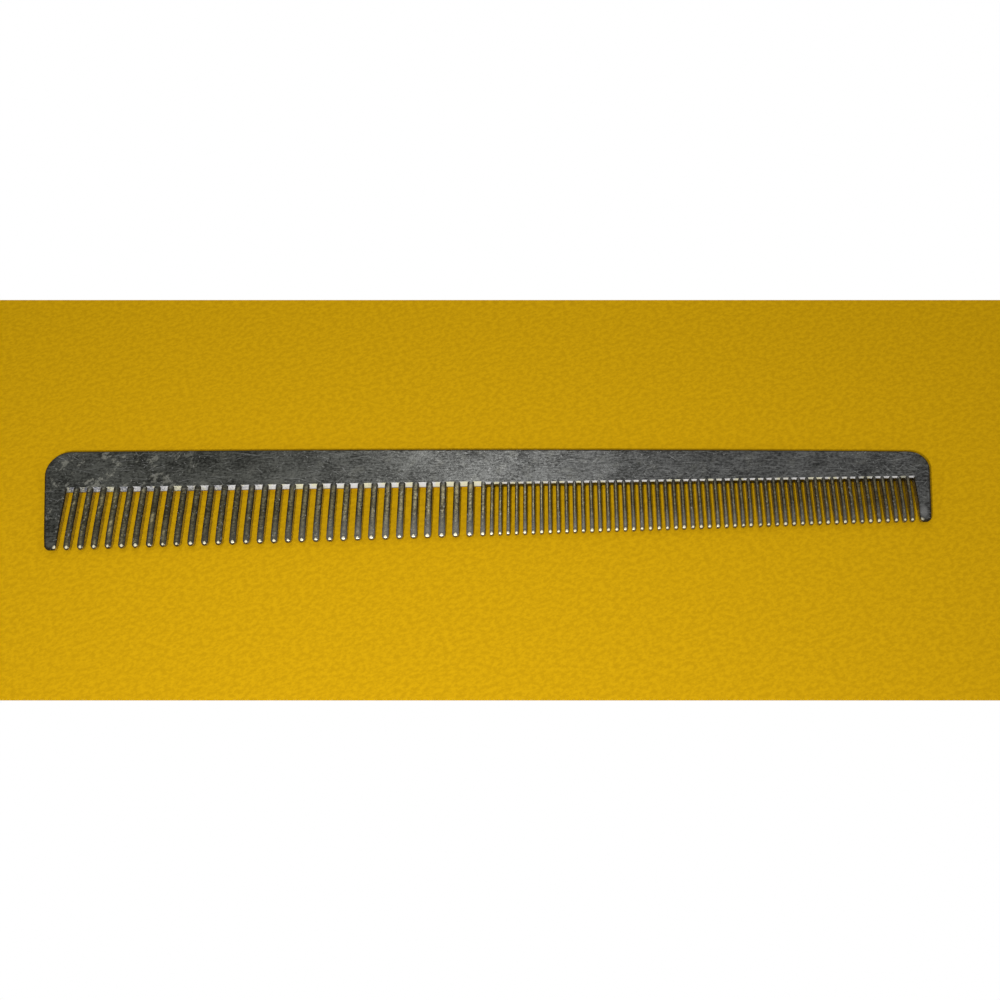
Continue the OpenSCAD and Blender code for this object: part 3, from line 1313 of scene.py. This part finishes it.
@dataclass(frozen=True)
class Mottle:
    """The dull metal: blotches, grain and drawn lines, with pale smudges at the coarse end.

    Args:
        dark: Colour of the darkest metal.
        pale: Colour of the palest metal.
        smudge: Colour of a smudge.
        coarse_tint: What the colours are multiplied by at the coarse end.
        fine_tint: What they are multiplied by at the fine end.
        tint_run: Where the first tint ends and the second is full, along the comb.
        layers: Kinds of noise, each with its share in the tone.
        tones: Tones at which the metal is darkest and palest.
        cloud: The noise of the smudges.
        cloud_shown: Values of that noise at which a smudge starts and is full.
        cloud_run: Where the smudges start to fade, and where they are faintest.
        cloud_strength: How strong they are at those two places.
    """

    dark: Point3 = (0.040, 0.040, 0.039)
    pale: Point3 = (0.205, 0.207, 0.205)
    smudge: Point3 = (0.400, 0.395, 0.335)
    coarse_tint: Point3 = (0.87, 0.88, 0.78)
    fine_tint: Point3 = (1.16, 1.16, 1.13)
    tint_run: Point2 = (-60, 20)
    layers: tuple[tuple[Grain, float], ...] = (
        (Grain(0.5, 4, (1.3, 1, 1), 12, 0.8), 0.75),
        (Grain(5.0, 5, (1.6, 1, 1), 20, 0.65), 0.40),
        (Grain(0.22, 3, (14, 1, 1), -4), 0.35),
    )
    tones: Point2 = (0.62, 0.90)
    cloud: Grain = Grain(2.4, 5, (1.5, 1, 1), 50, 0.75)
    cloud_shown: Point2 = (0.55, 0.61)
    cloud_run: Point2 = (-74, -48)
    cloud_strength: Point2 = (0.90, 0.12)

    def draw(self, graph: Graph, place: Socket, along: Socket) -> Socket:
        """The colour of the metal at a place.

        Args:
            graph: Takes the nodes.
            place: The place on the piece, in millimetres.
            along: The place along the comb.

        Returns:
            The colour.
        """
        tone: object = 0.0
        for grain, share in self.layers:
            tone = graph.math("MULTIPLY_ADD", graph.noise(place, grain), share, tone)
        colour = graph.mix(graph.ramp(tone, self.tones), self.dark, self.pale)
        tint = graph.mix(graph.ramp(along, self.tint_run), self.coarse_tint, self.fine_tint)
        colour = graph.mix(1.0, colour, tint, "MULTIPLY")
        cloud = graph.ramp(graph.noise(place, self.cloud), self.cloud_shown)
        cloud = graph.product(cloud, graph.ramp(along, self.cloud_run, self.cloud_strength))
        return graph.mix(cloud, colour, self.smudge)


@dataclass(frozen=True)
class Rubbing:
    """The marks of use on the flat metal: streaks, single scratches and a worn patch.

    Args:
        streaks: Layers of streaks.
        streak_swell: How strong the streaks are along the comb.
        streak_least: How strong they are at the ends, as a share.
        scratches: Layers of scratches.
        wear: The noise in which the first layer fades; each later one has the next size.
        wear_turn: How much farther each later layer's noise is turned, in degrees.
        wear_shown: Values of the noise at which a scratch starts and is full.
        wear_least: How strong the faintest scratches are.
        cluster: Scratches that lie close together near the fine corner.
        cluster_place: The middle of the cluster.
        cluster_reach: Radius at which the cluster starts to fade, and at which it ends.
        patch_squeeze: What places are multiplied by, which makes the worn patch longer.
        patch_place: The middle of the worn patch on the fine guard, multiplied likewise.
        patch_reach: Radius at which the patch starts to fade, and at which it ends.
        patch_strength: How bright the patch is.
    """

    streaks: tuple[Streaks, ...] = (
        Streaks(0.20, 14, -5, 0.62),
        Streaks(0.22, 10, 9, 0.50),
        Streaks(0.24, 7, -24, 0.40),
    )
    streak_swell: Swell = Swell((-28, 4), (12, 62), 0.2)
    streak_least: float = 0.20
    scratches: tuple[Scratches, ...] = (
        Scratches((16.0, 2.6), 13.0, 0.075, -7, 7, 0.60, 3.1, 0.8),
        Scratches((9.0, 1.9), 6.5, 0.060, 6, 9, 0.65, 41.3, 0.7),
        Scratches((3.2, 2.2), 2.4, 0.070, 24, 22, 0.45, 11.7, 0.7),
        Scratches((3.6, 2.4), 2.8, 0.075, -34, 22, 0.45, 23.9, 0.8),
        Scratches((1.1, 0.8), 0.7, 0.100, 0, 80, 0.22, 7.7, 0.9),
    )
    wear: Grain = Grain(6.0, 2, (1.8, 1, 1))
    wear_turn: float = 15.0
    wear_shown: Point2 = (0.38, 0.56)
    wear_least: float = 0.12
    cluster: Scratches = Scratches((2.4, 1.1), 2.2, 0.065, -34, 12, 0.85, 5.3, 0.85)
    cluster_place: Point3 = (82.0, 6.6, 2.0)
    cluster_reach: Point2 = (2.2, 4.6)
    patch_squeeze: Point3 = (1.0, 0.55, 1.0)
    patch_place: Point3 = (86.4, -1.5, 2.0)
    patch_reach: Point2 = (0.35, 1.15)
    patch_strength: float = 0.42

    def draw_streaks(self, graph: Graph, place: Socket, along: Socket) -> Socket:
        """The mask of the streaks, strongest at the middle of the comb.

        Args:
            graph: Takes the nodes.
            place: The place on the piece, in millimetres.
            along: The place along the comb.

        Returns:
            The mask.
        """
        found = graph.largest(*(layer.draw(graph, place) for layer in self.streaks))
        swell = self.streak_swell.draw(graph, along)
        share = graph.math("MULTIPLY_ADD", swell, 1 - self.streak_least, self.streak_least)
        return graph.product(found, share)

    def draw_scratches(self, graph: Graph, place: Socket) -> Socket:
        """The mask of the single scratches, which fade out here and there, and of the patch.

        Args:
            graph: Takes the nodes.
            place: The place on the piece, in millimetres.

        Returns:
            The mask.
        """
        found = []
        for number, layer in enumerate(self.scratches):
            grain = replace(self.wear, size=self.wear.size + number, turn=self.wear_turn * number)
            worn = graph.ramp(graph.noise(place, grain), self.wear_shown, (self.wear_least, layer.strength))
            found.append(graph.product(layer.draw(graph, place), worn))
        away = graph.vector("DISTANCE", place, self.cluster_place)
        near = graph.ramp(away, self.cluster_reach, (self.cluster.strength, 0))
        found.append(graph.product(self.cluster.draw(graph, place), near))
        squeezed = graph.vector("MULTIPLY", place, self.patch_squeeze)
        away = graph.vector("DISTANCE", squeezed, self.patch_place)
        found.append(graph.ramp(away, self.patch_reach, (self.patch_strength, 0)))
        return graph.largest(*found)


@dataclass(frozen=True)
class WornMetal:
    """Old uncoated aluminium: dull, mottled and scratched, worn bright in places, with painted shade,
    painted highlights and a painted sheen.

    Args:
        name: Name of the material.
        mottle: The dull metal itself.
        rubbing: The marks of use on it.
        painted_shade: Colour of the painted shade on the rounded edges and round the painted highlights.
        wear_and_sheen: Colour of the metal where it is scratched or chipped, and of the painted sheen
            towards the ends of the teeth.
        painted_highlight: Colour of the painted highlights at the ends of the teeth.
        tooth_reflection_tint: What the dull metal is multiplied by on the teeth, a painted warm reflection
            that makes them paler and yellower.
        tooth_run: Reaches down a tooth between which its finish takes over from the back's.
        painted_shade_run: How far round an edge the painted shade starts and is full.
        painted_shade_cover: How much it covers at those two places.
        chips: The noise of the bright flecks on the teeth.
        chips_shown: Values of that noise at which a fleck starts and is full.
        chips_strength: How bright a fleck is.
        sheen_run: Reaches down a tooth between which the painted sheen grows.
        sheen_swell: How strong the painted sheen is along the comb.
        sheen_strength: How strong it is at least, and what the swell adds.
        shade_ring_run: Marks of the bright spot between which the painted shade round it grows.
        shade_ring_cover: How much that painted shade covers at those two places.
        highlight_run: Marks of the bright spot between which the painted highlight grows.
        highlight_metallic_loss: How much less metallic the painted highlight is.
        highlight_roughness_gain: How much rougher the painted highlight is.
        fleck: The noise of the gloss and of the relief.
        fleck_shown: Values of that noise at which the metal is glossiest and dullest.
        roughness: Roughness at those two values.
        relief: Height of the relief, in millimetres.
        relief_strength: How strongly the relief shows.
        relief_share: Share of the fleck in the relief beside the scratches.
    """

    name: str = "worn_aluminium"
    mottle: Mottle = Mottle()
    rubbing: Rubbing = Rubbing()
    painted_shade: Point3 = (0.050, 0.043, 0.030)
    wear_and_sheen: Point3 = (0.62, 0.62, 0.60)
    painted_highlight: Point3 = (0.90, 0.82, 0.58)
    tooth_reflection_tint: Point3 = (1.95, 1.70, 1.02)
    tooth_run: Point2 = (0.0, 0.12)
    painted_shade_run: Point2 = (0.0, 0.32)
    painted_shade_cover: Point2 = (0.0, 0.92)
    chips: Grain = Grain(0.30, 2, (1, 1.8, 1), rough=0.6)
    chips_shown: Point2 = (0.61, 0.73)
    chips_strength: float = 0.60
    sheen_run: Point2 = (0.45, 1.0)
    sheen_swell: Swell = Swell((-60, -6), (20, 90), 0.5)
    sheen_strength: Point2 = (0.05, 0.34)
    shade_ring_run: Point2 = (0.02, 0.22)
    shade_ring_cover: Point2 = (0.0, 0.35)
    highlight_run: Point2 = (0.32, 0.60)
    highlight_metallic_loss: float = 0.5
    highlight_roughness_gain: float = 0.12
    fleck: Grain = Grain(0.16, 2, (1, 1.6, 1), rough=0.7)
    fleck_shown: Point2 = (0.3, 0.7)
    roughness: Point2 = (0.25, 0.37)
    relief: float = 0.03
    relief_strength: float = 0.35
    relief_share: float = 0.8

    def flecks_and_sheen(self, graph: Graph, place: Socket, along: Socket, on_tooth: Socket) -> Socket:
        """How bright a tooth is, in worn flecks and in a painted sheen towards its end.

        Args:
            graph: Takes the nodes.
            place: The place on the piece, in millimetres.
            along: The place along the comb.
            on_tooth: How much of the finish is that of a tooth.

        Returns:
            Share of the colour of wear and sheen.
        """
        chips = graph.ramp(graph.noise(place, self.chips), self.chips_shown)
        flecks = graph.product(chips, on_tooth, self.chips_strength)
        least, more = self.sheen_strength
        swell = graph.math("MULTIPLY_ADD", self.sheen_swell.draw(graph, along), more, least)
        # Painted sheen towards the tooth's end, strongest near the middle of the comb.
        thin = graph.product(graph.ramp(graph.mark(Mark.REACH), self.sheen_run), on_tooth, swell)
        return graph.math("ADD", flecks, thin)

    def make(self) -> bpy.types.Material:
        """Builds the finish.

        Returns:
            The material.
        """
        graph = Graph(self.name)
        place = graph.place()
        along = graph.split(place)[0]
        edge, spot = graph.mark(Mark.EDGE), graph.mark(Mark.SPOT)
        on_tooth = graph.ramp(graph.mark(Mark.REACH), self.tooth_run)
        on_back = graph.math("SUBTRACT", 1.0, on_tooth)
        scratches = graph.product(self.rubbing.draw_scratches(graph, place), on_back)
        streaks = graph.product(self.rubbing.draw_streaks(graph, place, along), on_back)
        tooth = self.flecks_and_sheen(graph, place, along, on_tooth)
        highlight = graph.ramp(spot, self.highlight_run)

        colour = self.mottle.draw(graph, place, along)
        # Painted warm reflection: the teeth paler and yellower than the back.
        colour = graph.mix(1.0, colour, graph.mix(on_tooth, WHITE, self.tooth_reflection_tint), "MULTIPLY")
        # Painted shade on the rounded edges.
        colour = graph.mix(graph.ramp(edge, self.painted_shade_run, self.painted_shade_cover), colour, self.painted_shade)
        # Worn scratches, streaks and flecks, and the painted sheen down the teeth.
        colour = graph.mix(graph.largest(scratches, streaks, tooth), colour, self.wear_and_sheen)
        # Painted shade round the painted highlights.
        colour = graph.mix(graph.ramp(spot, self.shade_ring_run, self.shade_ring_cover), colour, self.painted_shade)
        # Painted highlight at the ends of the teeth, less metallic and rougher than the metal round it.
        graph.set("Base Color", graph.mix(highlight, colour, self.painted_highlight))
        graph.set("Metallic", graph.math("MULTIPLY_ADD", highlight, -self.highlight_metallic_loss, 1.0))

        fleck = graph.noise(place, self.fleck)
        rough = graph.ramp(fleck, self.fleck_shown, self.roughness)
        graph.set("Roughness", graph.math("MULTIPLY_ADD", highlight, self.highlight_roughness_gain, rough))
        bump = graph.node("ShaderNodeBump")
        bump.inputs["Strength"].default_value = self.relief_strength
        bump.inputs["Distance"].default_value = self.relief * MM
        height = graph.math("SUBTRACT", graph.product(fleck, self.relief_share), scratches)
        graph.feed(bump.inputs["Height"], height)
        graph.set("Normal", bump.outputs[0])
        return graph.material


@dataclass(frozen=True)
class CutMetal:
    """Bare cut aluminium at the roots of the slots, with a painted highlight brightest at the middle of the
    comb and a painted yellow reflection on some roots.

    Args:
        name: Name of the material.
        dull: Colour of the dullest metal.
        bright: Colour of the brightest metal.
        yellow_reflection: Colour of the brightest metal where it shows a painted yellow reflection.
        painted_shade: Colour of the painted shade, a dark line along the crest of a coarse root's ridge.
        swell: How bright the painted highlight is along the comb.
        grain: The fine noise.
        patch: The coarse noise.
        shares: Shares of the swell, the fine noise and the coarse noise in the brightness.
        level: What is added to the brightness.
        shown: Levels of brightness at which the metal is dullest and brightest.
        hue: The noise that puts the painted yellow reflection on some roots.
        hue_shown: Values of that noise at which the yellow starts and is full.
        shade_line_run: Shares of the ridge's reach at which the painted shade line starts and is full.
        shade_line_cover: How much it covers at those two places.
        metallic: How metallic the metal looks.
        roughness: How rough it is.
    """

    name: str = "cut_aluminium"
    dull: Point3 = (0.12, 0.13, 0.175)
    bright: Point3 = (0.95, 0.94, 0.93)
    yellow_reflection: Point3 = (0.97, 0.93, 0.66)
    painted_shade: Point3 = (0.02, 0.018, 0.014)
    swell: Swell = Swell((-95, -12), (40, 110), 0.35)
    grain: Grain = Grain(0.35, 3, rough=0.7)
    patch: Grain = Grain(2.3, 1)
    shares: Point3 = (0.85, 1.7, 1.0)
    level: float = -1.15
    shown: Point2 = (-0.05, 0.9)
    hue: Grain = Grain(2.6, 1, turn=40)
    hue_shown: Point2 = (0.48, 0.62)
    shade_line_run: Point2 = (0.84, 0.96)
    shade_line_cover: Point2 = (0.0, 0.9)
    metallic: float = 0.35
    roughness: float = 0.45

    def make(self) -> bpy.types.Material:
        """Builds the finish.

        Returns:
            The material.
        """
        graph = Graph(self.name)
        place = graph.place()
        along = graph.split(place)[0]
        swell_share, grain_share, patch_share = self.shares
        level = graph.math("MULTIPLY_ADD", graph.noise(place, self.patch), patch_share, self.level)
        # The swell paints the highlight brightest at the middle of the comb; the noises vary it at random.
        level = graph.math("MULTIPLY_ADD", self.swell.draw(graph, along), swell_share, level)
        level = graph.math("MULTIPLY_ADD", graph.noise(place, self.grain), grain_share, level)
        # Painted yellow reflection on some roots.
        hue = graph.ramp(graph.noise(place, self.hue), self.hue_shown)
        bright = graph.mix(hue, self.bright, self.yellow_reflection)
        colour = graph.mix(graph.ramp(level, self.shown), self.dull, bright)
        # Painted shade line along the crest of a coarse root's ridge.
        line = graph.ramp(graph.mark(Mark.EDGE), self.shade_line_run, self.shade_line_cover)
        graph.set("Base Color", graph.mix(line, colour, self.painted_shade))
        graph.set("Metallic", self.metallic)
        graph.set("Roughness", self.roughness)
        return graph.material


@dataclass(frozen=True)
class WallMetal:
    """Aluminium at the sides of the teeth, which fingers don't reach.

    Args:
        name: Name of the material.
        dark: Colour of the darkest metal.
        pale: Colour of the palest metal.
        grain: The noise between them.
        shown: Values of that noise at which the metal is darkest and palest.
        roughness: How rough it is.
    """

    name: str = "wall_aluminium"
    dark: Point3 = (0.30, 0.29, 0.25)
    pale: Point3 = (0.58, 0.56, 0.50)
    grain: Grain = Grain(0.6, 3)
    shown: Point2 = (0.35, 0.65)
    roughness: float = 0.38

    def make(self) -> bpy.types.Material:
        """Builds the finish.

        Returns:
            The material.
        """
        graph = Graph(self.name)
        share = graph.ramp(graph.noise(graph.place(), self.grain), self.shown)
        graph.set("Base Color", graph.mix(share, self.dark, self.pale))
        graph.set("Metallic", 1.0)
        graph.set("Roughness", self.roughness)
        return graph.material


@dataclass(frozen=True)
class GroundFloor:
    """The ground under the comb: a grained ochre band across a plain white ground.

    Args:
        edges: Both edges of the band, each as a point on it and the direction out of the band.
        name: Name of the material.
        ochre: Colour of the palest ochre.
        dark: Colour of the darkest ochre.
        white: Colour of the plain ground, as it lights other things.
        grain: The noise of the ochre.
        shown: Values of that noise at which the ochre is darkest and palest.
        roughness: How rough the ground is.
    """

    edges: tuple[tuple[Point2, Point2], ...]
    name: str = "ground"
    ochre: Point3 = (0.69, 0.395, 0.005)
    dark: Point3 = (0.57, 0.32, 0.004)
    white: Point3 = (0.86, 0.86, 0.86)
    grain: Grain = Grain(0.8, 4, (1.4, 1, 1), 20, 0.7)
    shown: Point2 = (0.36, 0.64)
    roughness: float = 0.9

    def outside(self, graph: Graph, place: Socket) -> Socket:
        """The mask of the plain ground, 1 outside the band and 0 on it.

        Args:
            graph: Takes the nodes.
            place: The place on the ground, in millimetres.

        Returns:
            The mask.
        """
        found = []
        for edge, out in self.edges:
            away = graph.vector("SUBTRACT", place, (*edge, 0))
            away = graph.vector("DOT_PRODUCT", away, (*out, 0))
            found.append(graph.math("GREATER_THAN", away, 0.0))
        return graph.largest(*found)

    def make(self) -> bpy.types.Material:
        """Builds the finish, whose plain ground the camera sees as pure white.

        Returns:
            The material.
        """
        graph = Graph(self.name)
        place = graph.place()
        outside = self.outside(graph, place)
        band = graph.mix(graph.ramp(graph.noise(place, self.grain), self.shown), self.dark, self.ochre)
        graph.set("Base Color", graph.mix(outside, band, self.white))
        graph.set("Roughness", self.roughness)
        graph.set("Specular IOR Level", 0.0)
        seen = graph.node("ShaderNodeLightPath").outputs["Is Camera Ray"]
        glow = graph.node("ShaderNodeEmission")
        glow.inputs["Color"].default_value = (*WHITE, 1.0)
        glow.inputs["Strength"].default_value = 1.0
        mixed = graph.node("ShaderNodeMixShader")
        parts = (graph.product(seen, outside), graph.shader.outputs[0], glow.outputs[0])
        for socket, value in zip(mixed.inputs, parts):
            graph.feed(socket, value)
        graph.feed(graph.tree.nodes["Material Output"].inputs["Surface"], mixed.outputs[0])
        return graph.material


@dataclass
class Comb:
    """The whole comb, piece by piece.

    Args:
        drawing: The comb's drawing.
        fine_bends: How far some fine teeth are bent along the comb, by number from the middle.
    """

    drawing: Drawing
    fine_bends: dict[int, float] = field(default_factory=lambda: {31: -0.14, 50: -0.22})

    def slots(self) -> list[tuple[Point2, Point2]]:
        """The left and right corner of each slot's root, from the coarse end.

        Returns:
            The two corners of each root, first those of the coarse slots.
        """
        d = self.drawing
        rows = (
            (d.coarse_slots, d.first_slot_x, d.coarse_pitch, d.coarse_slot_width, d.root_y),
            (d.fine_slots, d.first_fine_x, d.fine_pitch, d.fine_slot_width, d.fine_root_y),
        )
        found = []
        for count, first, pitch, width, root in rows:
            for k in range(count):
                left = first + k * pitch
                found.append(((left, root(left)), (left + width, root(left + width))))
        return found

    def parts(self) -> tuple[Back | Guard | ToothRow, ...]:
        """The sub-parts of the comb: the back, the guards and the rows of teeth.

        Returns:
            The sub-parts, each with a name and a method that builds it.
        """
        d = self.drawing
        levels = Levels(d)
        slots = self.slots()
        teeth = [(before[1], after[0]) for before, after in zip(slots, slots[1:])]
        guards = (Guard(d, levels, "coarse_guard", -1), Guard(d, levels, "fine_guard", 1))
        back = Back(d, levels, slots, (guards[0].seam(), guards[1].seam()))
        rows = (
            ("coarse_teeth", teeth[: d.coarse_slots - 1], d.coarse_edge_radius, {}, 11),
            ("middle_tooth", [teeth[d.coarse_slots - 1]], d.fine_edge_radius, {}, 12),
            ("fine_teeth", teeth[d.coarse_slots :], d.fine_edge_radius, self.fine_bends, 13),
        )
        made = []
        for name, ends, radius, bends, seed in rows:
            spans = [(left[0], right[0]) for left, right in ends]
            roots = [(left[1], right[1]) for left, right in ends]
            made.append(ToothRow(d, levels, name, spans, roots, radius, bends, seed))
        return (back, *guards, *made)

    def build(self) -> None:
        """Makes, dresses and places all pieces."""
        finishes = [WornMetal().make(), CutMetal().make(), WallMetal().make()]
        for part in self.parts():
            piece = part.build()
            piece.name = f"{part.name}_metal"
            for finish in finishes:
                piece.data.materials.append(finish)
            smooth(piece)
            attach(piece, "root")
            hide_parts(part.name)
            log.info("%s: %d faces", piece.name, len(piece.data.polygons))


@dataclass(frozen=True)
class View:
    """The camera of the photograph, in millimetres and radians in the comb's frame.

    Args:
        place: Its place.
        yaw: How far it looks to the side.
        dip: How far it looks down.
        roll: How far it is tilted to the side.
        focal: Its focal length, in pixels.
        centre_x: Column of the picture that it looks at.
        centre_y: Row of the picture that it looks at.
        image: Width of the picture, in pixels.
        sensor: Width of its sensor.
        nearest: Nearest distance that it shows, in metres.
    """

    place: Point3 = (8.651, -120.187, 221.100)
    yaw: float = -0.1181
    dip: float = 1.0680
    roll: float = -0.1022
    focal: float = 1259.41
    centre_x: float = 450.5
    centre_y: float = 500.5
    image: float = 1000.0
    sensor: float = 36.0
    nearest: float = 0.01

    def axes(self) -> tuple[Vector, Vector, Vector]:
        """The camera's right, up and forward directions.

        Returns:
            The three unit vectors.
        """
        right = Vector((math.cos(self.yaw), -math.sin(self.yaw), 0))
        level = Vector((math.sin(self.yaw), math.cos(self.yaw), 0))
        forward = level * math.cos(self.dip) - Vector((0, 0, math.sin(self.dip)))
        up = right.cross(forward)
        across = right * math.cos(self.roll) + up * math.sin(self.roll)
        upward = up * math.cos(self.roll) - right * math.sin(self.roll)
        return across, upward, forward

    def ground(self, column: float, row: float) -> Vector:
        """The place on the ground that a pixel of the picture shows.

        Args:
            column: The pixel's column, from the left.
            row: The pixel's row, from the top.

        Returns:
            The place, in millimetres.
        """
        across, upward, forward = self.axes()
        ray = forward * self.focal + across * (column - self.centre_x) - upward * (row - self.centre_y)
        place = Vector(self.place)
        return place - ray * (place.z / ray.z)

    def edge(self, row: float, side: int) -> tuple[Point2, Point2]:
        """The line on the ground that a row of the picture shows.

        Args:
            row: The row, in pixels from the top.
            side: 1 for a line whose outer side is farther from the camera, -1 for nearer.

        Returns:
            A point on the line, and the direction out over it.
        """
        start, end = self.ground(0.0, row), self.ground(self.image, row)
        along = (end - start).normalized()
        return (start.x, start.y), (-side * along.y, side * along.x)

    def make(self) -> None:
        """Creates the camera and makes it the scene's own."""
        data = bpy.data.cameras.new("camera")
        data.sensor_width = self.sensor
        data.lens = self.sensor * self.focal / self.image
        data.shift_x = 0.5 - self.centre_x / self.image
        data.shift_y = self.centre_y / self.image - 0.5
        data.clip_start = self.nearest
        camera = bpy.data.objects.new("camera", data)
        across, upward, forward = self.axes()
        turn = Matrix((across, upward, -forward)).transposed().to_4x4()
        camera.matrix_world = Matrix.Translation(Vector(self.place) * MM) @ turn
        bpy.context.scene.collection.objects.link(camera)
        bpy.context.scene.camera = camera


@dataclass(frozen=True)
class Studio:
    """The floor, the backdrop and the lamps round the comb.

    Args:
        view: The camera of the photograph.
        floor_reach: Radius of the flat floor, in millimetres.
        cove_radius: Radius of its curve up into the backdrop, in millimetres.
        rings: Number of steps up that curve.
        sides: Number of steps round the floor.
        band: First and last row of the picture that show the band on the floor.
        sky: Strength of the even light from all sides.
        key_offset: Place of the key lamp beside the camera, in millimetres.
        key_power: Power of the key lamp, in watts.
        key_size: Diameter of the key lamp, in millimetres.
        soft_place: Place of the soft lamp, which the middle of the back mirrors, in millimetres.
        soft_power: Power of the soft lamp, in watts.
        soft_size: Diameter of the soft lamp, in millimetres.
    """

    view: View
    floor_reach: float = 900.0
    cove_radius: float = 500.0
    rings: int = 14
    sides: int = 96
    band: tuple[float, float] = (300.0, 700.5)
    sky: float = 0.42
    key_offset: Point3 = (-32, -24, -16)
    key_power: float = 0.40
    key_size: float = 22.0
    soft_place: Point3 = (-18, 250, 420)
    soft_power: float = 0.075
    soft_size: float = 90.0

    def profile(self) -> list[Point2]:
        """The floor from its rim up the backdrop: how far out and how high, in millimetres.

        Returns:
            The points, from the rim up.
        """
        found = [(self.floor_reach, 0.0)]
        for k in range(1, self.rings + 1):
            turn = math.pi / 2 * k / self.rings
            out = self.floor_reach + self.cove_radius * math.sin(turn)
            found.append((out, self.cove_radius * (1 - math.cos(turn))))
        return found

    def floor(self) -> None:
        """A round floor that curves up into a backdrop on all sides."""
        mesh = bpy.data.meshes.new("floor")
        work = bmesh.new()
        turns = [2 * math.pi * k / self.sides for k in range(self.sides)]
        rows = []
        for out, height in self.profile():
            places = [(out * math.cos(turn) * MM, out * math.sin(turn) * MM, height * MM) for turn in turns]
            rows.append([work.verts.new(place) for place in places])
        work.faces.new(rows[0])
        for low, high in zip(rows, rows[1:]):
            for k in range(self.sides):
                after = (k + 1) % self.sides
                work.faces.new((low[after], high[after], high[k], low[k]))
        bmesh.ops.recalc_face_normals(work, faces=work.faces)
        work.faces.ensure_lookup_table()
        if work.faces[0].normal.z < 0:
            bmesh.ops.reverse_faces(work, faces=work.faces)
        work.to_mesh(mesh)
        work.free()
        mesh.shade_smooth()
        first, last = self.band
        mesh.materials.append(GroundFloor((self.view.edge(first, 1), self.view.edge(last, -1))).make())
        made = bpy.data.objects.new("floor", mesh)
        bpy.context.scene.collection.objects.link(made)
        made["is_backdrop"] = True

    def lamp(self, name: str, place: Vector, size: float, power: float) -> None:
        """Adds one round lamp that shines at the middle of the comb.

        Args:
            name: Name of the lamp.
            place: Its place, in millimetres.
            size: Its diameter, in millimetres.
            power: Its power, in watts.
        """
        data = bpy.data.lights.new(name, "AREA")
        data.shape = "DISK"
        data.size = size * MM
        data.energy = power
        lamp = bpy.data.objects.new(name, data)
        lamp.location = place * MM
        lamp.rotation_euler = (-place).to_track_quat("-Z", "Y").to_euler()
        bpy.context.scene.collection.objects.link(lamp)

    def light(self) -> None:
        """Adds the lamps and the sky."""
        key_place = Vector(self.view.place) + Vector(self.key_offset)
        self.lamp("key", key_place, self.key_size, self.key_power)
        self.lamp("soft", Vector(self.soft_place), self.soft_size, self.soft_power)
        world = bpy.data.worlds.new("sky")
        world.use_nodes = True
        sky = world.node_tree.nodes["Background"]
        sky.inputs["Color"].default_value = (*WHITE, 1.0)
        sky.inputs["Strength"].default_value = self.sky
        bpy.context.scene.world = world


def main() -> None:
    """Builds the comb in its studio and reports each piece."""
    logging.basicConfig(level=logging.INFO, format="%(name)s: %(message)s")
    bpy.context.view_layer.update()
    drawing = Drawing.from_frame()
    Comb(drawing).build()
    view = View()
    view.make()
    studio = Studio(view)
    studio.floor()
    studio.light()
    bpy.context.scene.view_settings.view_transform = "Standard"


if __name__ == "__main__":
    main()
